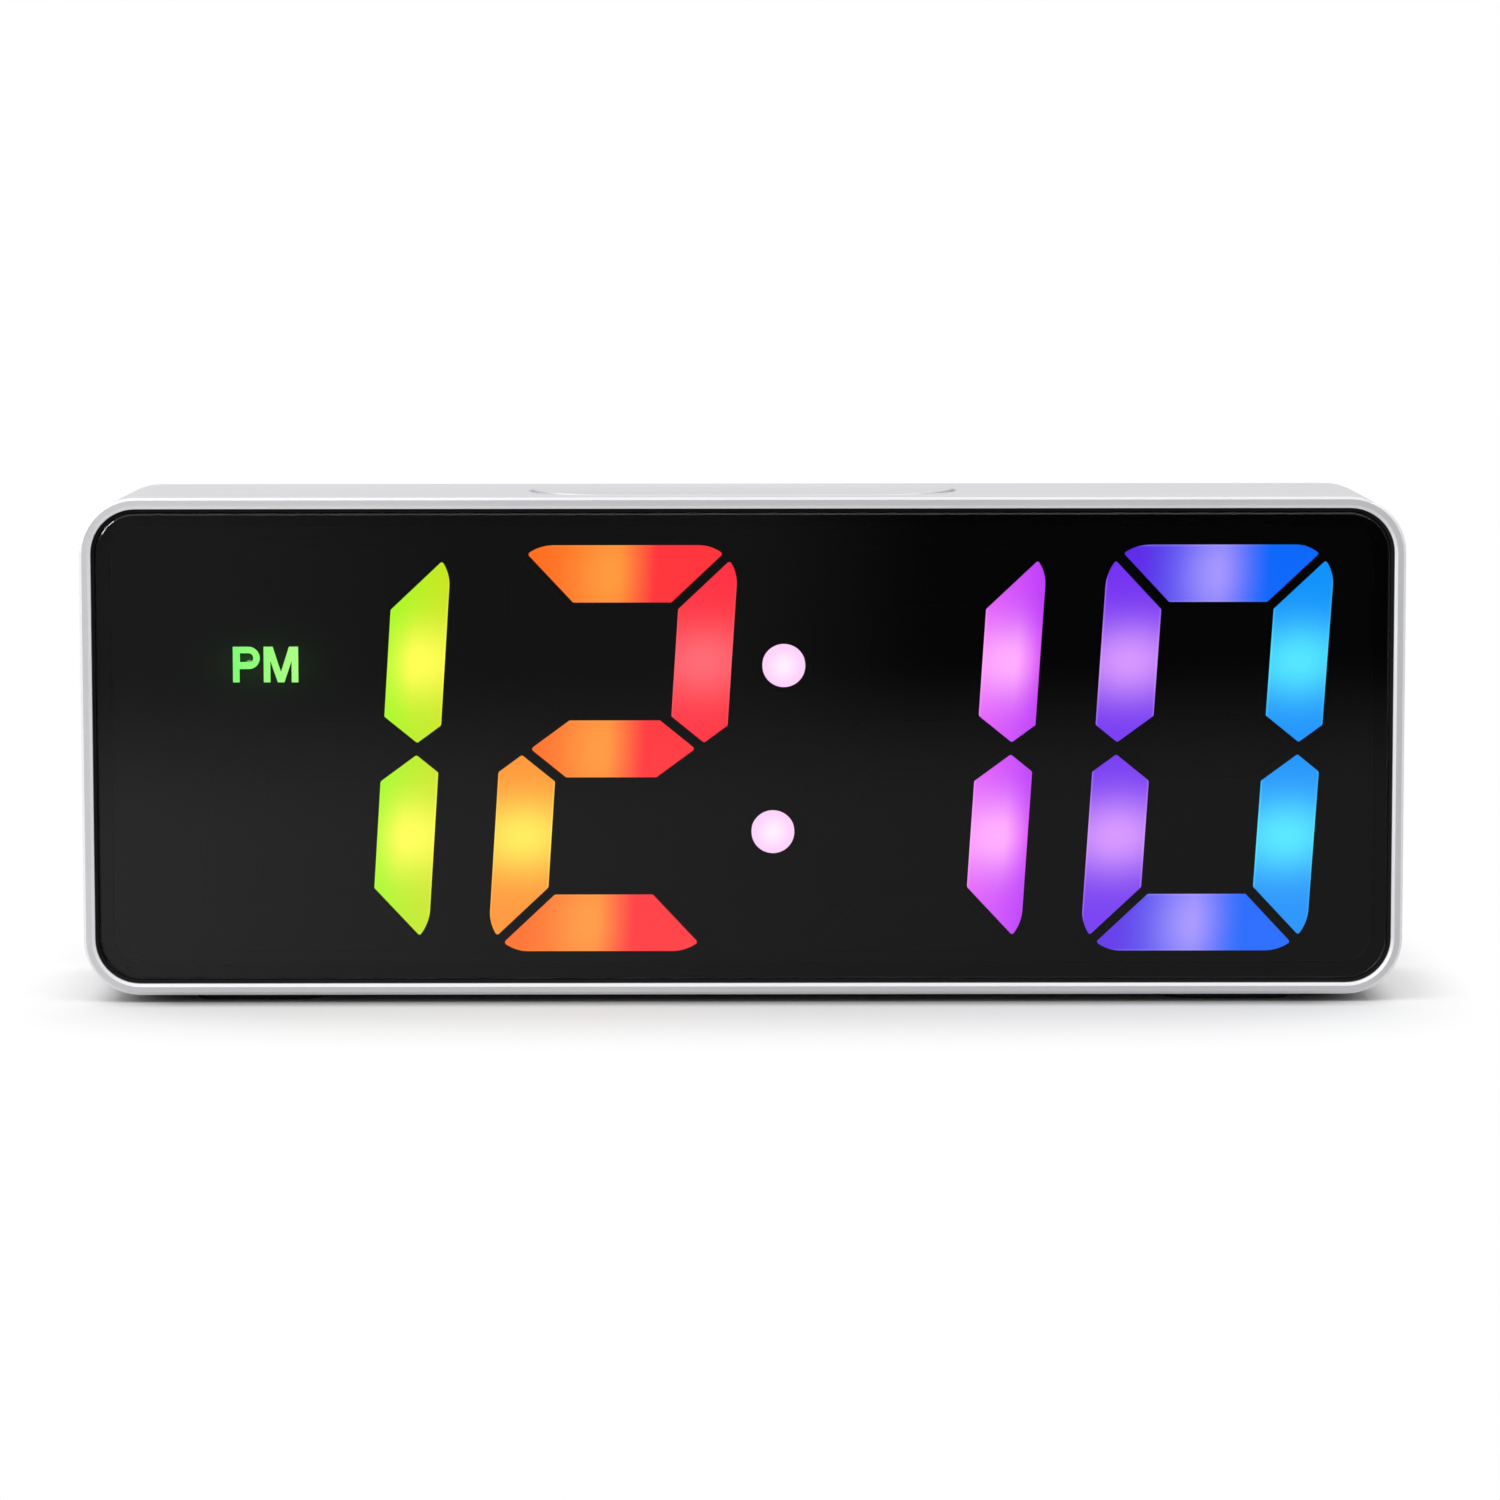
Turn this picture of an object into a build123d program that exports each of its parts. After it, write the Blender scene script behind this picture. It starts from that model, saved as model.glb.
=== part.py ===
"""Digital desk clock with a seven-segment display, in millimetres.

The clock stands on z = 0, faces -Y, and its middle is at x = 0, y = 0.
"""
import os
from math import cos, hypot, pi, sin, sqrt

from build123d import *

# Display: four slanted digits, a colon and a small indicator
digit_height = 51.0
digit_width = 28.3
segment_width = 7.1
segment_gap = 1.3
segment_tip_gap = 1.6
segment_tip_inset = 2.8
segment_corner_radius = 5.1
segment_corner_round = 0.25
segment_thickness = 1.2
segment_clearance = 0.05
segment_slope_share = 0.77
slant_share = 0.066
digit_pitch = 35.9
pair_pitch = 38.5
left_margin = 14.8
right_margin = 8.8
digit_margin = 4.25
display_drop = 0.5
colon_radius = 2.68
colon_spacing = 20.9
colon_offset = 1.45
indicator_height = 4.4
indicator_stroke = 0.76
indicator_p_width = 3.3
indicator_m_width = 4.25
indicator_letter_gap = 0.55
indicator_inset = 21.45
indicator_rise = 10.65
indicator_plate_thickness = 0.8
indicator_plate_margin = 0.5
indicator_bowl_share = 0.62

# Case
wall = 2.0
rim_width = 1.4
corner_radius = 7.0
rim_outer_bevel = 0.32
rim_inner_bevel = 0.4
rim_bevel_depth = 0.2
rear_edge_round = 0.5
rear_setback = 0.4
ledge_width = 2.2
ledge_thickness = 1.5
cut_overrun = 1.0

# Window and its adhesive frame
window_setback = 0.5
window_thickness = 2.0
window_gap = 0.45
window_bevel = 0.35
window_bevel_depth = 0.2
gasket_thickness = 0.2
gasket_side_gap = 0.05
gasket_lip_setback = 0.1
gasket_overhang = 0.15

# Light box behind the window
mask_air_gap = 0.1
mask_depth = 4.8
mask_side_gap = 0.8
mask_platform_gap = 0.3
well_shoulder = 0.5

# Main board and what it carries
board_thickness = 1.6
board_inset = 0.4
component_space = 7.15
led_length = 3.0
led_width = 2.6
led_height = 1.3
chip_length = 10.2
chip_width = 7.5
chip_height = 2.2
driver_length = 6.0
driver_width = 4.0
driver_height = 1.6
driver_spacing = 12.0
chip_edge_chamfer = 0.3
crystal_length = 8.0
crystal_radius = 1.5
crystal_gap = 2.0
capacitor_radius = 2.5
capacitor_height = 5.2
capacitor_spacing = 8.0
capacitor_groove = 0.3
link_length = 15.0
link_width = 2.6
part_edge_round = 0.4

# Snooze bar, its switch and the switches behind the keys
bar_length = 53.5
bar_width = 21.0
bar_gap = 0.25
bar_crown = 0.35
bar_edge_round = 0.25
bar_mouth_chamfer = 0.2
bar_block_length = 48.0
bar_block_width = 8.4
bar_block_depth = 3.0
bar_post_radius = 2.2
bar_post_length = 2.0
bar_tab_reach = 3.0
bar_tab_width = 6.0
bar_tab_thickness = 1.0
bar_tab_gap = 0.1
bar_travel = 0.5
switch_side = 6.0
switch_height = 3.5
plunger_radius = 1.7
plunger_stand = 0.9
plunger_depth = 1.2
plunger_gap = 0.15

# Rear cover
cover_thickness = 2.0
cover_gap = 0.2
boss_inset = 4.7
boss_radius = 3.2
boss_rib = 1.5
boss_board_gap = 0.5
well_radius = 4.0
well_depth = 2.8
well_floor = 1.8
clamp_radius = 2.0
clamp_gap = 0.05
clamp_spread = 20.0
middle_clamp_spread = 36.0
side_bay = 10.5
middle_bay = 14.0
sound_hole_radius = 0.8
sound_ring_radius = 2.6
sound_hole_count = 6

# Keys on the rear cover and their board
key_names = ("mode", "up", "down", "alarm", "colour")
key_width = 9.0
key_height = 5.5
key_radius = 2.2
key_gap = 0.2
key_flange = 1.0
key_flange_thickness = 0.8
key_flange_gap = 0.05
key_edge_round = 0.3
key_travel = 0.4
key_mark_size = 2.2
key_mark_depth = 0.2
key_mark_line = 0.5
key_row_rise = 8.0
key_row_margin = 9.0
key_recess_depth = 0.8
key_recess_margin = 2.5
key_board_thickness = 1.2
key_board_height = 42.0
key_post_radius = 2.4
key_post_inset = 4.0
buzzer_radius = 6.0
buzzer_height = 4.5
buzzer_hole_radius = 1.2
buzzer_hole_depth = 1.0
buzzer_inset = 14.0
buzzer_rise = 9.5
usb_width = 8.94
usb_height = 3.26
usb_wall = 0.3
usb_back = 1.0
usb_gap = 0.25
usb_setback = 0.2
usb_tongue_width = 6.7
usb_tongue_thickness = 0.7
usb_tongue_setback = 0.9
usb_inset = 12.0
usb_rise = 8.0

# Battery compartment
cell_count = 3
cell_length = 44.5
cell_diameter = 10.5
cell_nub_length = 1.0
cell_nub_radius = 1.9
cell_edge_round = 0.5
cell_pitch = 10.9
cell_floor_gap = 0.15
cell_door_gap = 0.5
cell_end_gap = 0.3
bay_side_gap = 0.2
bay_wall = 1.2
contact_thickness = 0.4
contact_width = 8.0
contact_gap = 0.05
contact_tab_width = 3.0
contact_tab_length = 1.0
contact_tab_gap = 0.2
spring_length = 4.2
spring_wire_radius = 0.3
spring_base_radius = 3.0
spring_tip_radius = 1.6
spring_turns = 3
spring_end_gap = 0.1
spring_step_share = 0.001
spring_samples_per_turn = 48
lead_radius = 0.65
lead_run = 14.0
lead_bend = 2.4

# Battery door
door_thickness = 1.5
door_lip = 1.5
door_gap = 0.2
door_corner_radius = 1.5
door_edge_round = 0.25
door_tab_width = 8.0
door_tab_reach = 2.0
door_tab_skin = 0.5
door_tab_gap = 0.15
door_tab_spread = 30.0
door_rib_count = 5
door_rib_length = 16.0
door_rib_width = 0.8
door_rib_pitch = 2.0
door_rib_depth = 0.3
door_rib_drop = 8.0
notch_width = 14.0
notch_height = 8.0
notch_depth = 1.1

# Screws
cover_screw_head_radius = 2.5
cover_screw_head_height = 1.8
cover_screw_radius = 1.25
cover_screw_length = 10.0
board_screw_head_radius = 1.9
board_screw_head_height = 1.3
board_screw_radius = 0.9
board_screw_length = 5.0
screw_gap = 0.05
screw_head_gap = 0.3
screw_hole_gap = 0.15
screw_recess_share = 0.6
screw_recess_width_share = 0.28
screw_recess_depth_share = 0.55
screw_edge_share = 0.35

# Feet
foot_length = 16.0
foot_width = 7.0
foot_radius = 3.0
foot_stand = 1.0
foot_seat = 0.6
foot_gap = 0.1
foot_round = 0.3
foot_end_inset = 13.5
foot_edge_inset = 3.0

# Overall sizes and the layers from front to back
case_width = 2 * rim_width + left_margin + right_margin + digit_width + 2 * digit_pitch + pair_pitch
case_height = 2 * (rim_width + digit_margin) + digit_height
case_depth = (window_setback + window_thickness + gasket_thickness + ledge_thickness + mask_depth
              + board_thickness + component_space + bay_wall + cell_floor_gap + cell_diameter
              + cell_door_gap + door_thickness + rear_setback)
front_y = -case_depth / 2
rear_y = case_depth / 2
window_front = front_y + window_setback
window_back = window_front + window_thickness
ledge_front = window_back + gasket_thickness
ledge_back = ledge_front + ledge_thickness
mask_front = window_back + mask_air_gap
mask_back = ledge_back + mask_depth
board_back = mask_back + board_thickness
bay_front = board_back + component_space
bay_floor = bay_front + bay_wall
cell_axis_y = bay_floor + cell_floor_gap + cell_diameter / 2
cover_outer = rear_y - rear_setback
cover_inner = cover_outer - cover_thickness
door_inner = cover_outer - door_thickness
base_z = foot_stand
middle_z = base_z + case_height / 2
display_z = middle_z - display_drop
top_z = base_z + case_height
inner_top = top_z - wall
inner_half_width = case_width / 2 - wall
inner_half_height = case_height / 2 - wall

# Digit places along x, and which segments of each digit are lit at ten past twelve
first_digit_x = -case_width / 2 + rim_width + left_margin + digit_width / 2
digit_places = {
    "hour_tens": (first_digit_x, "bc", "adeg"),
    "hour_units": (first_digit_x + digit_pitch, "abged", "cf"),
    "minute_tens": (first_digit_x + digit_pitch + pair_pitch, "bc", "adefg"),
    "minute_units": (first_digit_x + 2 * digit_pitch + pair_pitch, "abcdef", "g"),
}
colon_x = first_digit_x + digit_pitch + pair_pitch / 2 + colon_offset
indicator_x = -case_width / 2 + rim_width + indicator_inset
indicator_z = display_z + indicator_rise

# Battery bay and key board share the width behind the main board
bay_length = cell_length + spring_length + 2 * contact_thickness + cell_end_gap
bay_height = cell_count * cell_pitch + 2 * bay_side_gap
bay_left = -inner_half_width + side_bay + bay_wall
bay_right = bay_left + bay_length
bay_middle_x = (bay_left + bay_right) / 2
bay_bottom = middle_z - bay_height / 2
bay_top = middle_z + bay_height / 2
door_bottom = bay_bottom - door_lip
door_top = bay_top + door_lip
key_board_left = bay_right + bay_wall + middle_bay
key_board_right = inner_half_width - side_bay
key_board_width = key_board_right - key_board_left
key_board_x = (key_board_left + key_board_right) / 2
key_board_bottom = middle_z - key_board_height / 2
key_flange_back = cover_inner - key_flange_gap
key_flange_front = key_flange_back - key_flange_thickness
key_board_back = key_flange_front - plunger_stand - switch_height
key_board_front = key_board_back - key_board_thickness
key_row_z = middle_z + key_row_rise
key_pitch = (key_board_width - 2 * key_row_margin) / (len(key_names) - 1)
key_places = {name: key_board_left + key_row_margin + i * key_pitch for i, name in enumerate(key_names)}
key_posts = [(key_board_x + side * (key_board_width / 2 - key_post_inset),
              middle_z + level * (key_board_height / 2 - key_post_inset))
             for side in (-1, 1) for level in (-1, 1)]
buzzer_x = key_board_left + buzzer_inset
buzzer_z = key_board_bottom + buzzer_rise
usb_x = key_board_right - usb_inset
usb_z = key_board_bottom + usb_rise
boss_places = [(side * (inner_half_width - boss_inset), middle_z + level * (inner_half_height - boss_inset))
               for side in (-1, 1) for level in (-1, 1)]
well_seat = cover_outer - well_depth
well_front = well_seat - well_floor
clamp_places = [(side * (inner_half_width - side_bay / 2), middle_z + level * clamp_spread / 2)
                for side in (-1, 1) for level in (-1, 1)]
clamp_places += [(bay_right + bay_wall + middle_bay / 2, middle_z + level * middle_clamp_spread / 2)
                 for level in (-1, 1)]
snooze_y = board_back + switch_side / 2
snooze_switch_top = inner_top - bar_block_depth - bar_post_length - plunger_stand

# The main board's screws stand clear of every well: two at each end and one between the colon's dots
board_half_width = inner_half_width - mask_side_gap - board_inset
board_half_height = inner_half_height - mask_side_gap - board_inset
board_screw_side_share = 0.955
board_screw_level_share = 0.62
board_screw_places = [(side * board_screw_side_share * board_half_width,
                       middle_z + level * board_screw_level_share * board_half_height)
                      for side in (-1, 1) for level in (-1, 1)]
board_screw_places.append((colon_x, display_z))


def slab(outline, front, back):
    """Stand an outline drawn in x and z upright and give it the depth from front to back."""
    plane = Plane(origin=(0, back, 0), x_dir=(1, 0, 0), z_dir=(0, -1, 0))
    return extrude(plane * outline, amount=back - front, dir=(0, -1, 0))


def rounded(width, height, radius, x=0, z=0):
    """Give a rounded rectangle centred at x and z."""
    return Pos(x, z) * RectangleRounded(width, height, radius)


def inset_case(inset):
    """Give the case outline drawn in by an inset on every side."""
    return rounded(case_width - 2 * inset, case_height - 2 * inset, corner_radius - inset, 0, middle_z)


def block(x_low, x_high, y_low, y_high, z_low, z_high):
    """Give a box between its limits."""
    middle = Pos((x_low + x_high) / 2, (y_low + y_high) / 2, (z_low + z_high) / 2)
    return middle * Box(x_high - x_low, y_high - y_low, z_high - z_low)


def rod(x, z, radius, front, back):
    """Give a round bar along y."""
    return slab(Pos(x, z) * Circle(radius), front, back)


def upright(x, y, radius, low, high):
    """Give a round bar along z."""
    return Pos(x, y, (low + high) / 2) * Cylinder(radius, high - low)


def facing_edges(solid, axis, last):
    """Give the edges of a solid's first or last face along an axis."""
    return solid.faces().sort_by(axis)[-1 if last else 0].edges()


def group(solids):
    """Join loose solids in one node."""
    return Compound(children=list(solids))


def screw(x, z, seat, way, head_radius, head_height, shank_radius, shank_length):
    """Give a pan-head screw along y whose head points the given way from its seat."""
    recess_width = screw_recess_width_share * head_radius
    recess_depth = screw_recess_depth_share * head_height
    crown = seat + way * head_height
    head = rod(x, z, head_radius, min(seat, crown), max(seat, crown))
    head = fillet(facing_edges(head, Axis.Y, way > 0), screw_edge_share * head_height)
    tip = seat - way * shank_length
    body = head + rod(x, z, shank_radius, min(seat, tip), max(seat, tip))
    recess_reach = screw_recess_share * head_radius
    floor = crown - way * recess_depth
    over = crown + way * recess_depth
    for half_x, half_z in ((recess_reach, recess_width / 2), (recess_width / 2, recess_reach)):
        body -= block(x - half_x, x + half_x, min(floor, over), max(floor, over), z - half_z, z + half_z)
    return body


def make_cover_screws():
    """Four screws in the wells of the rear cover."""
    return group(screw(x, z, well_seat, 1, cover_screw_head_radius, cover_screw_head_height,
                       cover_screw_radius, cover_screw_length) for x, z in boss_places)


def make_board_screws(places, seat, way):
    """The small screws of a circuit board, seated on one of its faces."""
    return group(screw(x, z, seat, way, board_screw_head_radius, board_screw_head_height,
                       board_screw_radius, board_screw_length) for x, z in places)


def slanted(x, point, mirror):
    """Place a point of an upright digit in its slanted place on the face."""
    across = point[0] * mirror[0]
    up = point[1] * mirror[1]
    return (x + across + slant_share * up, display_z + up)


def segment_face(x, name, sharp=False):
    """Draw one segment of the digit at x; a to f run round the digit and g crosses it."""
    half_width = digit_width / 2
    half_height = digit_height / 2
    mitre = segment_gap / sqrt(2)
    radius = segment_corner_radius
    along = (sqrt(2 * radius**2 - mitre**2) - mitre) / 2
    near, far = half_width - radius, half_height - radius
    inner_x, inner_z = half_width - segment_width, half_height - segment_width
    tip_low = segment_tip_gap / 2
    tip_x = half_width - segment_tip_inset
    mirror = (-1 if name in "ef" else 1, -1 if name in "cde" else 1)
    if name in "ad":
        flat_tip = (near + along, far + along + mitre)
        bow = arc_middle((near, far), radius, (near, half_height), flat_tip)
        round_ends = [(near, half_height), (-near, half_height)]
        path = [(mitre - inner_x, inner_z), (inner_x - mitre, inner_z), flat_tip, (bow, round_ends[0]),
                round_ends[1], ((-bow[0], bow[1]), (-flat_tip[0], flat_tip[1]))]
    elif name in "bcef":
        side_tip = (near + along + mitre, far + along)
        bow = arc_middle((near, far), radius, (half_width, far), side_tip)
        rise_in = tip_low + segment_slope_share * (segment_width - segment_tip_inset)
        rise_out = tip_low + segment_slope_share * segment_tip_inset
        round_ends = [(half_width, far)]
        path = [(inner_x, inner_z - mitre), (inner_x, rise_in), (tip_x, tip_low), (half_width, rise_out),
                round_ends[0], (bow, side_tip)]
    else:
        slope_length = hypot(1, segment_slope_share)
        reach = tip_x - (segment_gap * slope_length - tip_low) / segment_slope_share
        shoulder = reach - segment_width / 2 / segment_slope_share
        half = segment_width / 2
        round_ends = []
        path = [(-reach, 0), (-shoulder, half), (shoulder, half),
                (reach, 0), (shoulder, -half), (-shoulder, -half)]
    edges = []
    here = slanted(x, path[0], mirror)
    start = here
    for step in path[1:]:
        curved = isinstance(step[0], tuple)
        end = slanted(x, step[1] if curved else step, mirror)
        edges.append(ThreePointArc(here, slanted(x, step[0], mirror), end) if curved else Line(here, end))
        here = end
    edges.append(Line(here, start))
    face = make_face(edges)
    if sharp:
        return face
    smooth = [Vector(*slanted(x, point, mirror)) for point in round_ends]
    corners = [v for v in face.vertices()
               if all((Vector(v) - s).length > segment_corner_round for s in smooth)]
    return fillet(corners, segment_corner_round)


def arc_middle(centre, radius, start, end):
    """Give the point of a round corner halfway between two of its points."""
    across = start[0] + end[0] - 2 * centre[0]
    up = start[1] + end[1] - 2 * centre[1]
    size = hypot(across, up)
    return (centre[0] + radius * across / size, centre[1] + radius * up / size)


def segment_centre(x, name):
    """Give the middle of a segment, where its lamp sits."""
    side = digit_width / 2 - segment_width / 2
    level = digit_height / 2 - segment_width / 2
    point = {"a": (0, level), "b": (side, level / 2), "c": (side, -level / 2), "d": (0, -level),
             "e": (-side, -level / 2), "f": (-side, level / 2), "g": (0, 0)}[name]
    return slanted(x, point, (1, 1))


def colon_places():
    """Give the middles of the colon's two dots."""
    half = colon_spacing / 2
    return [(colon_x + level * slant_share * half, display_z + level * half) for level in (-1, 1)]


def indicator_letters():
    """Draw the two bold capitals of the afternoon indicator, the eye of the first and their width."""
    total = indicator_p_width + indicator_letter_gap + indicator_m_width
    left = indicator_x - total / 2
    foot = indicator_z - indicator_height / 2
    head = indicator_z + indicator_height / 2
    stroke = indicator_stroke
    bowl = indicator_bowl_share * indicator_height
    bowl_z = head - bowl / 2
    stem = Pos(left + stroke / 2, indicator_z) * Rectangle(stroke, indicator_height)
    outer_x = left + indicator_p_width - bowl / 2
    outer = Pos(outer_x, bowl_z) * Circle(bowl / 2)
    outer += Pos((left + outer_x) / 2, bowl_z) * Rectangle(outer_x - left, bowl)
    hole = bowl / 2 - stroke
    inner = Pos(outer_x, bowl_z) * Circle(hole)
    inner += Pos((left + stroke + outer_x) / 2, bowl_z) * Rectangle(outer_x - left - stroke, 2 * hole)
    letter_p = stem + outer
    m_left = left + indicator_p_width + indicator_letter_gap
    m_right = m_left + indicator_m_width
    m_middle = (m_left + m_right) / 2
    valley = foot + stroke / 2
    letter_m = make_face(Polyline(
        (m_left, foot), (m_left, head), (m_left + stroke * sqrt(2), head), (m_middle, valley + stroke),
        (m_right - stroke * sqrt(2), head), (m_right, head), (m_right, foot), (m_right - stroke, foot),
        (m_right - stroke, head - 2 * stroke), (m_middle + stroke / 2, foot), (m_middle - stroke / 2, foot),
        (m_left + stroke, head - 2 * stroke), (m_left + stroke, foot), close=True))
    return [letter_p, letter_m], inner, total


def bevel_front(body, edges, width, depth):
    """Bevel edges of a body's front face, by a width along that face and a depth behind it."""
    front = body.faces().sort_by(Axis.Y)[0]
    return chamfer(edges, width, depth, reference=front)


def make_case_shell():
    """The silver sleeve with its front rim, window ledge, bosses, bar mouth and foot seats."""
    shell = slab(inset_case(0), front_y, rear_y)
    shell = bevel_front(shell, facing_edges(shell, Axis.Y, False), rim_outer_bevel, rim_bevel_depth)
    shell = fillet(facing_edges(shell, Axis.Y, True), rear_edge_round)
    shell -= slab(inset_case(rim_width), front_y - cut_overrun, ledge_front)
    rim_edges = shell.faces().sort_by(Axis.Y)[0].inner_wires()[0].edges()
    shell = bevel_front(shell, rim_edges, rim_inner_bevel, rim_bevel_depth)
    shell -= slab(inset_case(rim_width + ledge_width), front_y, ledge_back + cut_overrun)
    shell -= slab(inset_case(wall), ledge_back, rear_y + cut_overrun)
    for x, z in boss_places:
        shell += make_boss(x, z)
    mouth = extrude(Pos(0, 0, inner_top - cut_overrun) * bar_outline(bar_gap), amount=wall + 2 * cut_overrun)
    shell -= mouth
    top_face = shell.faces().filter_by(Plane.XY).sort_by(Axis.Z)[-1]
    shell = chamfer(top_face.inner_wires()[0].edges(), bar_mouth_chamfer)
    for x, y in foot_places():
        seat = rounded_foot(foot_gap)
        shell -= extrude(Pos(x, y, base_z - cut_overrun) * seat, amount=foot_seat + cut_overrun)
    return shell


def make_boss(x, z):
    """One corner boss for a cover screw, tied to the case walls by two ribs."""
    start = board_back + boss_board_gap
    reach_x = inner_half_width + wall / 2
    reach_z = inner_half_height + wall / 2
    side = 1 if x > 0 else -1
    level = 1 if z > middle_z else -1
    boss = rod(x, z, boss_radius, start, well_front)
    x_limits = sorted((x, side * reach_x))
    z_limits = sorted((z, middle_z + level * reach_z))
    boss += block(*x_limits, start, well_front, z - boss_rib / 2, z + boss_rib / 2)
    boss += block(x - boss_rib / 2, x + boss_rib / 2, start, well_front, *z_limits)
    shank = cover_screw_radius + screw_gap
    return boss - rod(x, z, shank, well_seat - cover_screw_length - screw_gap, well_front + cut_overrun)


def bar_outline(gap):
    """The round-ended outline of the snooze bar, with a gap all round."""
    return SlotOverall(bar_length + 2 * gap, bar_width + 2 * gap)


def rounded_foot(gap):
    """The outline of a foot, with a gap all round."""
    return RectangleRounded(foot_length + 2 * gap, foot_width + 2 * gap, foot_radius + gap)


def foot_places():
    """The middles of the four feet."""
    x = case_width / 2 - foot_end_inset - foot_length / 2
    y = case_depth / 2 - foot_edge_inset - foot_width / 2
    return [(side * x, depth * y) for side in (-1, 1) for depth in (-1, 1)]


def make_feet():
    """Four rubber pads let into the underside."""
    pads = []
    for x, y in foot_places():
        pad = extrude(Pos(x, y) * rounded_foot(0), amount=foot_stand + foot_seat)
        pads.append(fillet(facing_edges(pad, Axis.Z, False), foot_round))
    return group(pads)


def make_window():
    """The smoked panel, bevelled round its front edge."""
    panel = slab(inset_case(rim_width + window_gap), window_front, window_back)
    return bevel_front(panel, facing_edges(panel, Axis.Y, False), window_bevel, window_bevel_depth)


def make_gasket():
    """The adhesive frame between the window and the ledge, with a lip that stands up round the window."""
    outer = inset_case(rim_width + gasket_side_gap)
    inner = inset_case(rim_width + ledge_width + gasket_overhang)
    beside_window = inset_case(rim_width + window_gap - gasket_side_gap)
    frame = slab(outer - inner, window_back, ledge_front)
    return frame + slab(outer - beside_window, window_front + gasket_lip_setback, window_back)


def make_mask():
    """The black light box: a stepped block with a pocket and a well for every segment."""
    platform = inset_case(rim_width + ledge_width + mask_platform_gap)
    mask = slab(platform, mask_front, ledge_back)
    mask += slab(inset_case(wall + mask_side_gap), ledge_back, mask_back)
    pocket_back = mask_front + segment_thickness
    cuts = []
    for x, lit, unlit in digit_places.values():
        for name in lit + unlit:
            pocket = offset(segment_face(x, name), amount=segment_clearance)
            cuts.append(slab(pocket, mask_front - cut_overrun, pocket_back))
            well = offset(segment_face(x, name, sharp=True), amount=-well_shoulder, kind=Kind.INTERSECTION)
            cuts.append(slab(well, pocket_back - cut_overrun, mask_back + cut_overrun))
    for x, z in colon_places():
        cuts.append(rod(x, z, colon_radius + segment_clearance, mask_front - cut_overrun, pocket_back))
        cuts.append(rod(x, z, colon_radius - well_shoulder, pocket_back - cut_overrun,
                        mask_back + cut_overrun))
    letters, _, width = indicator_letters()
    skin_back = pocket_back - indicator_plate_thickness
    for letter in letters:
        cuts.append(slab(offset(letter, amount=segment_clearance), mask_front - cut_overrun, pocket_back))
    cuts.append(slab(indicator_plate(width, segment_clearance), skin_back, mask_back + cut_overrun))
    for x, z in board_screw_places:
        depth = board_screw_length - board_thickness + screw_gap
        cuts.append(rod(x, z, board_screw_radius + screw_gap, mask_back - depth, mask_back + cut_overrun))
    return mask - cuts


def indicator_plate(width, gap):
    """The outline of the plate that carries the indicator's two letters."""
    border = 2 * (indicator_plate_margin + gap)
    return Pos(indicator_x, indicator_z) * Rectangle(width + border, indicator_height + border)


def make_segments(x, names):
    """The translucent inserts of some segments of the digit at x."""
    return group(slab(segment_face(x, name), mask_front, mask_front + segment_thickness) for name in names)


def make_colon():
    """Two round inserts between the pairs of digits."""
    back = mask_front + segment_thickness
    return group(rod(x, z, colon_radius, mask_front, back) for x, z in colon_places())


def make_indicator():
    """Two raised letters on one translucent plate behind the skin of the light box."""
    letters, eye, width = indicator_letters()
    back = mask_front + segment_thickness
    body = slab(indicator_plate(width, 0), back - indicator_plate_thickness, back)
    for letter in letters:
        body += slab(letter, mask_front, back)
    return body - slab(eye, mask_front - cut_overrun, back + cut_overrun)


def make_main_board():
    """The display board with holes for its screws."""
    board = slab(inset_case(wall + mask_side_gap + board_inset), mask_back, board_back)
    for x, z in board_screw_places:
        board -= rod(x, z, board_screw_radius + screw_hole_gap, mask_back - cut_overrun,
                     board_back + cut_overrun)
    return board


def make_leds():
    """One lamp behind each segment, dot and letter pair."""
    places = [segment_centre(x, name) for x, lit, unlit in digit_places.values() for name in lit + unlit]
    places += colon_places() + [(indicator_x, indicator_z)]
    lamps = []
    for x, z in places:
        lamp = slab(Pos(x, z) * Rectangle(led_length, led_width), mask_back - led_height, mask_back)
        lamps.append(chamfer(facing_edges(lamp, Axis.Y, False), part_edge_round))
    return group(lamps)


def chip(x, z, length, width, height):
    """One moulded chip on the back of the main board."""
    body = slab(Pos(x, z) * Rectangle(length, width), board_back, board_back + height)
    return chamfer(facing_edges(body, Axis.Y, True), chip_edge_chamfer)


def make_capacitors():
    """Two upright cans with a grooved sleeve, on the back of the main board."""
    cans = []
    for side in (-1, 1):
        x = bay_middle_x + side * capacitor_spacing / 2
        can = rod(x, middle_z, capacitor_radius, board_back, board_back + capacitor_height)
        can = fillet(facing_edges(can, Axis.Y, True), part_edge_round)
        ring_back = board_back + 2 * part_edge_round + capacitor_groove
        ring = rod(x, middle_z, capacitor_radius + cut_overrun, ring_back - capacitor_groove, ring_back)
        ring -= rod(x, middle_z, capacitor_radius - capacitor_groove, board_back, bay_front)
        cans.append(can - ring)
    return group(cans)


def make_crystal():
    """A watch crystal can lying on the back of the main board."""
    x = key_board_x + chip_length / 2 + crystal_gap + crystal_length / 2
    y = board_back + crystal_radius
    can = Pos(x, y, middle_z) * Rot(0, 90, 0) * Cylinder(crystal_radius, crystal_length)
    return fillet(can.edges(), part_edge_round)


def make_link():
    """The plug strip between the main board and the key board."""
    strip = Pos(key_board_x, usb_z) * Rectangle(link_length, link_width)
    return slab(strip, board_back, key_board_front)


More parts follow.
